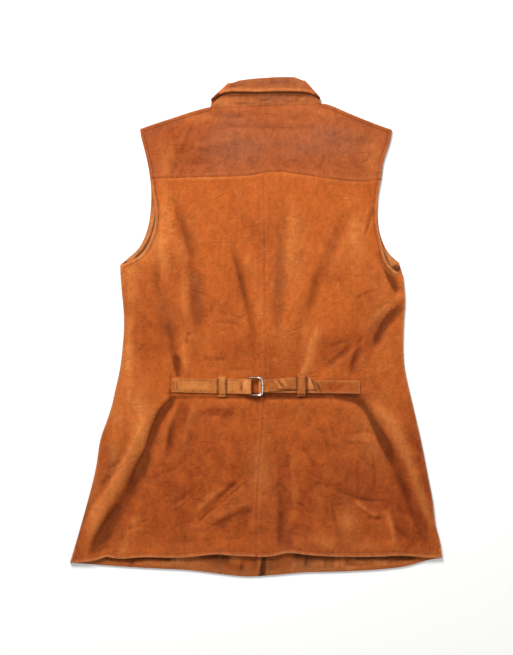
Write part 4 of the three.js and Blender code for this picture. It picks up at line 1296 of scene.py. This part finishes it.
def build_thread():
    """Waxed tan thread with a fine twist and soiled stretches."""
    material, tree, shader = start_material("tan thread")
    place = tree.nodes.new("ShaderNodeTexCoord").outputs["Object"]
    soiled = spread(tree, noise(tree, place, scale=60, detail=3, roughness=0.6), 0.4, 0.65)
    tree.links.new(blend(tree, soiled, dye(192, 116, 62), dye(140, 76, 38)), shader.inputs["Base Color"])
    squeezed = stretched(tree, place, (1.0, 1.0, 3.0))
    twist = noise(tree, squeezed, scale=2600, detail=2, roughness=0.5)
    add_bump(tree, shader, twist, strength=0.5, distance=0.1 * MM)
    shader.inputs["Roughness"].default_value = 0.7
    return material


def evenly(line, pitch):
    """Points of a line at an even pitch."""
    lengths = np.concatenate([[0], np.cumsum(np.linalg.norm(np.diff(line, axis=0), axis=1))])
    steps = np.arange(0, lengths[-1], pitch)
    return np.stack([np.interp(steps, lengths, line[:, i]) for i in (0, 1)], axis=1)


def sew(name, lines, pieces):
    """Sews rows of stitches along lines, seen from above, into the highest of the pieces."""
    depsgraph = bpy.context.evaluated_depsgraph_get()
    trees = [BVHTree.FromObject(piece, depsgraph) for piece in pieces]
    curve = bpy.data.curves.new(name, "CURVE")
    curve.dimensions = "3D"
    curve.bevel_depth = THREAD / 2
    curve.bevel_resolution = 0
    curve.use_fill_caps = True
    for line in lines:
        holes = evenly(line, PITCH)
        for start, end in zip(holes[:-1], holes[1:]):
            onward = (end - start) * STITCH_LENGTH / PITCH
            row = []
            for share, lift in STITCH_FORM:
                x, y = start + share * onward
                needle = Vector((x, y, NEEDLE_HEIGHT))
                hits = [tree.ray_cast(needle, Vector((0, 0, -1)))[0] for tree in trees]
                heights = [hit.z for hit in hits if hit is not None]
                if heights:
                    row.append((x, y, max(heights) + lift, 1))
            if len(row) == len(STITCH_FORM) and np.ptp([place[2] for place in row]) < STEEPEST:
                spline = curve.splines.new("POLY")
                spline.points.add(len(row) - 1)
                for point, place in zip(spline.points, row):
                    point.co = place
    stitches = bpy.data.objects.new(name, curve)
    bpy.context.collection.objects.link(stitches)
    make_active(stitches)
    bpy.ops.object.convert(target="MESH")
    dress(stitches, thread)
    bpy.ops.object.shade_smooth()
    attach(stitches, "root")


def inset(line, distance):
    """A line seen from above, moved to the left of its direction."""
    onward = np.gradient(line[:, :2], axis=0)
    onward /= np.linalg.norm(onward, axis=1)[:, None]
    return line[:, :2] + distance * np.stack([-onward[:, 1], onward[:, 0]], axis=1)


def sewn_edge(rim, place, axis):
    """The points of a rim that lie at one of the sewn edges, in order along X or Y."""
    (from_x, to_x), (from_y, to_y) = EDGE_PLACES[place]
    x, y = rim[:, 0] / MM, rim[:, 1] / MM
    edge = rim[(x > from_x) & (x < to_x) & (y > from_y) & (y < to_y)]
    return edge[np.argsort(edge[:, axis])]


def in_metres(rows):
    """Rows of points in millimetres as lines in metres."""
    return [np.array(row, dtype=float) * MM for row in rows]


thread = build_thread()
for name, rim in back_rims.items():
    hem = sewn_edge(rim, "back hem", 0)
    sew(f"stitches_hem_{name}", [inset(hem[WITHIN_ENDS], HEM_INSET)], [leather_pieces[name]])
for name, rim in front_rims.items():
    hem = sewn_edge(rim, "front hem", 0)
    lines = [inset(hem[WITHIN_ENDS], HEM_INSET)] + in_metres(FRONT_SEAM_ROWS[name])
    sew(f"stitches_hem_{name}", lines, [leather_pieces[name]])
middle = sewn_edge(back_rims["back_panel_left"], "middle seam", 1)
for name, distance in (("back_panel_left", SEAM_INSET), ("back_panel_right", -SEAM_INSET)):
    sew(f"stitches_middle_{name}", [inset(middle, distance)], [leather_pieces[name]])
upper_pieces = [leather_pieces[name] for name in ("back_panel_left", "back_panel_right", "back_yoke")]
yoke_seam = sewn_edge(yoke_rim, "yoke seam", 0)
sew("stitches_yoke_seam", [inset(yoke_seam[WELL_WITHIN_ENDS], -SEAM_INSET)], upper_pieces[:2])
outer = np.vstack([*back_rims.values(), yoke_rim])
for side, distance in (("left", -ARMHOLE_INSET), ("right", ARMHOLE_INSET)):
    line = inset(sewn_edge(outer, f"armhole {side}", 1), distance)
    sew(f"stitches_armhole_{side}", [line[WITHIN_ENDS]], upper_pieces)
leaf_edge = free_edge[np.argsort(free_edge[:, 0])]
leaf_row = inset(leaf_edge[WELL_WITHIN_ENDS], LEAF_INSET)
sew("stitches_collar", [leaf_row], [leather_pieces["collar_leaf"]])
for name, rows in STRAP_ROWS.items():
    sew(f"stitches_{name}", in_metres(rows), [leather_pieces[name]])

# Stage: a plain pale floor, a soft key light from the upper left, a wide fill from above, and a
# camera that looks straight down from far off, so that the vest fills the photograph's frame.
VIEW_HEIGHT = 1.048
LENS = 100
SENSOR = 36
VEST_MIDDLE = Vector((0.8, -0.8, 4)) * MM
FLOOR_SIZE = 12
FLOOR_DROP = 0.2 * MM
FLOOR_COLOR = (0.93, 0.93, 0.93, 1)

bpy.ops.object.select_all(action="DESELECT")
bpy.ops.mesh.primitive_plane_add(size=FLOOR_SIZE, location=(0, 0, -FLOOR_DROP))
floor = bpy.context.object
floor.name = "floor"
bpy.ops.object.transform_apply(location=True)
floor_material, _, floor_shader = start_material("pale floor")
floor_shader.inputs["Base Color"].default_value = FLOOR_COLOR
floor_shader.inputs["Roughness"].default_value = 0.9
floor_shader.inputs["Specular IOR Level"].default_value = 0.1
dress(floor, floor_material)


def soft_light(name, place, size, power, color):
    """A square area light that faces the vest."""
    light = bpy.data.lights.new(name, "AREA")
    light.shape = "SQUARE"
    light.size = size
    light.energy = power
    light.color = color
    holder = bpy.data.objects.new(name, light)
    holder.location = place
    holder.rotation_euler = (-Vector(place)).to_track_quat("-Z", "Y").to_euler()
    bpy.context.collection.objects.link(holder)


soft_light("key", place=(-0.95, 2.3, 1.75), size=1.0, power=122, color=(1.0, 0.985, 0.96))
soft_light("fill", place=(0.6, -0.6, 3.2), size=2.6, power=34, color=(0.97, 0.985, 1.0))

world = bpy.data.worlds.new("studio")
world.use_nodes = True
sky = world.node_tree.nodes["Background"]
sky.inputs["Color"].default_value = (1, 1, 1, 1)
sky.inputs["Strength"].default_value = 0.3
bpy.context.scene.world = world
bpy.context.scene.view_settings.view_transform = "Standard"

camera_data = bpy.data.cameras.new("camera")
camera_data.lens = LENS
camera_data.sensor_width = SENSOR
camera = bpy.data.objects.new("camera", camera_data)
camera.location = VEST_MIDDLE + Vector((0, 0, VIEW_HEIGHT * LENS / SENSOR))
bpy.context.collection.objects.link(camera)
bpy.context.scene.camera = camera
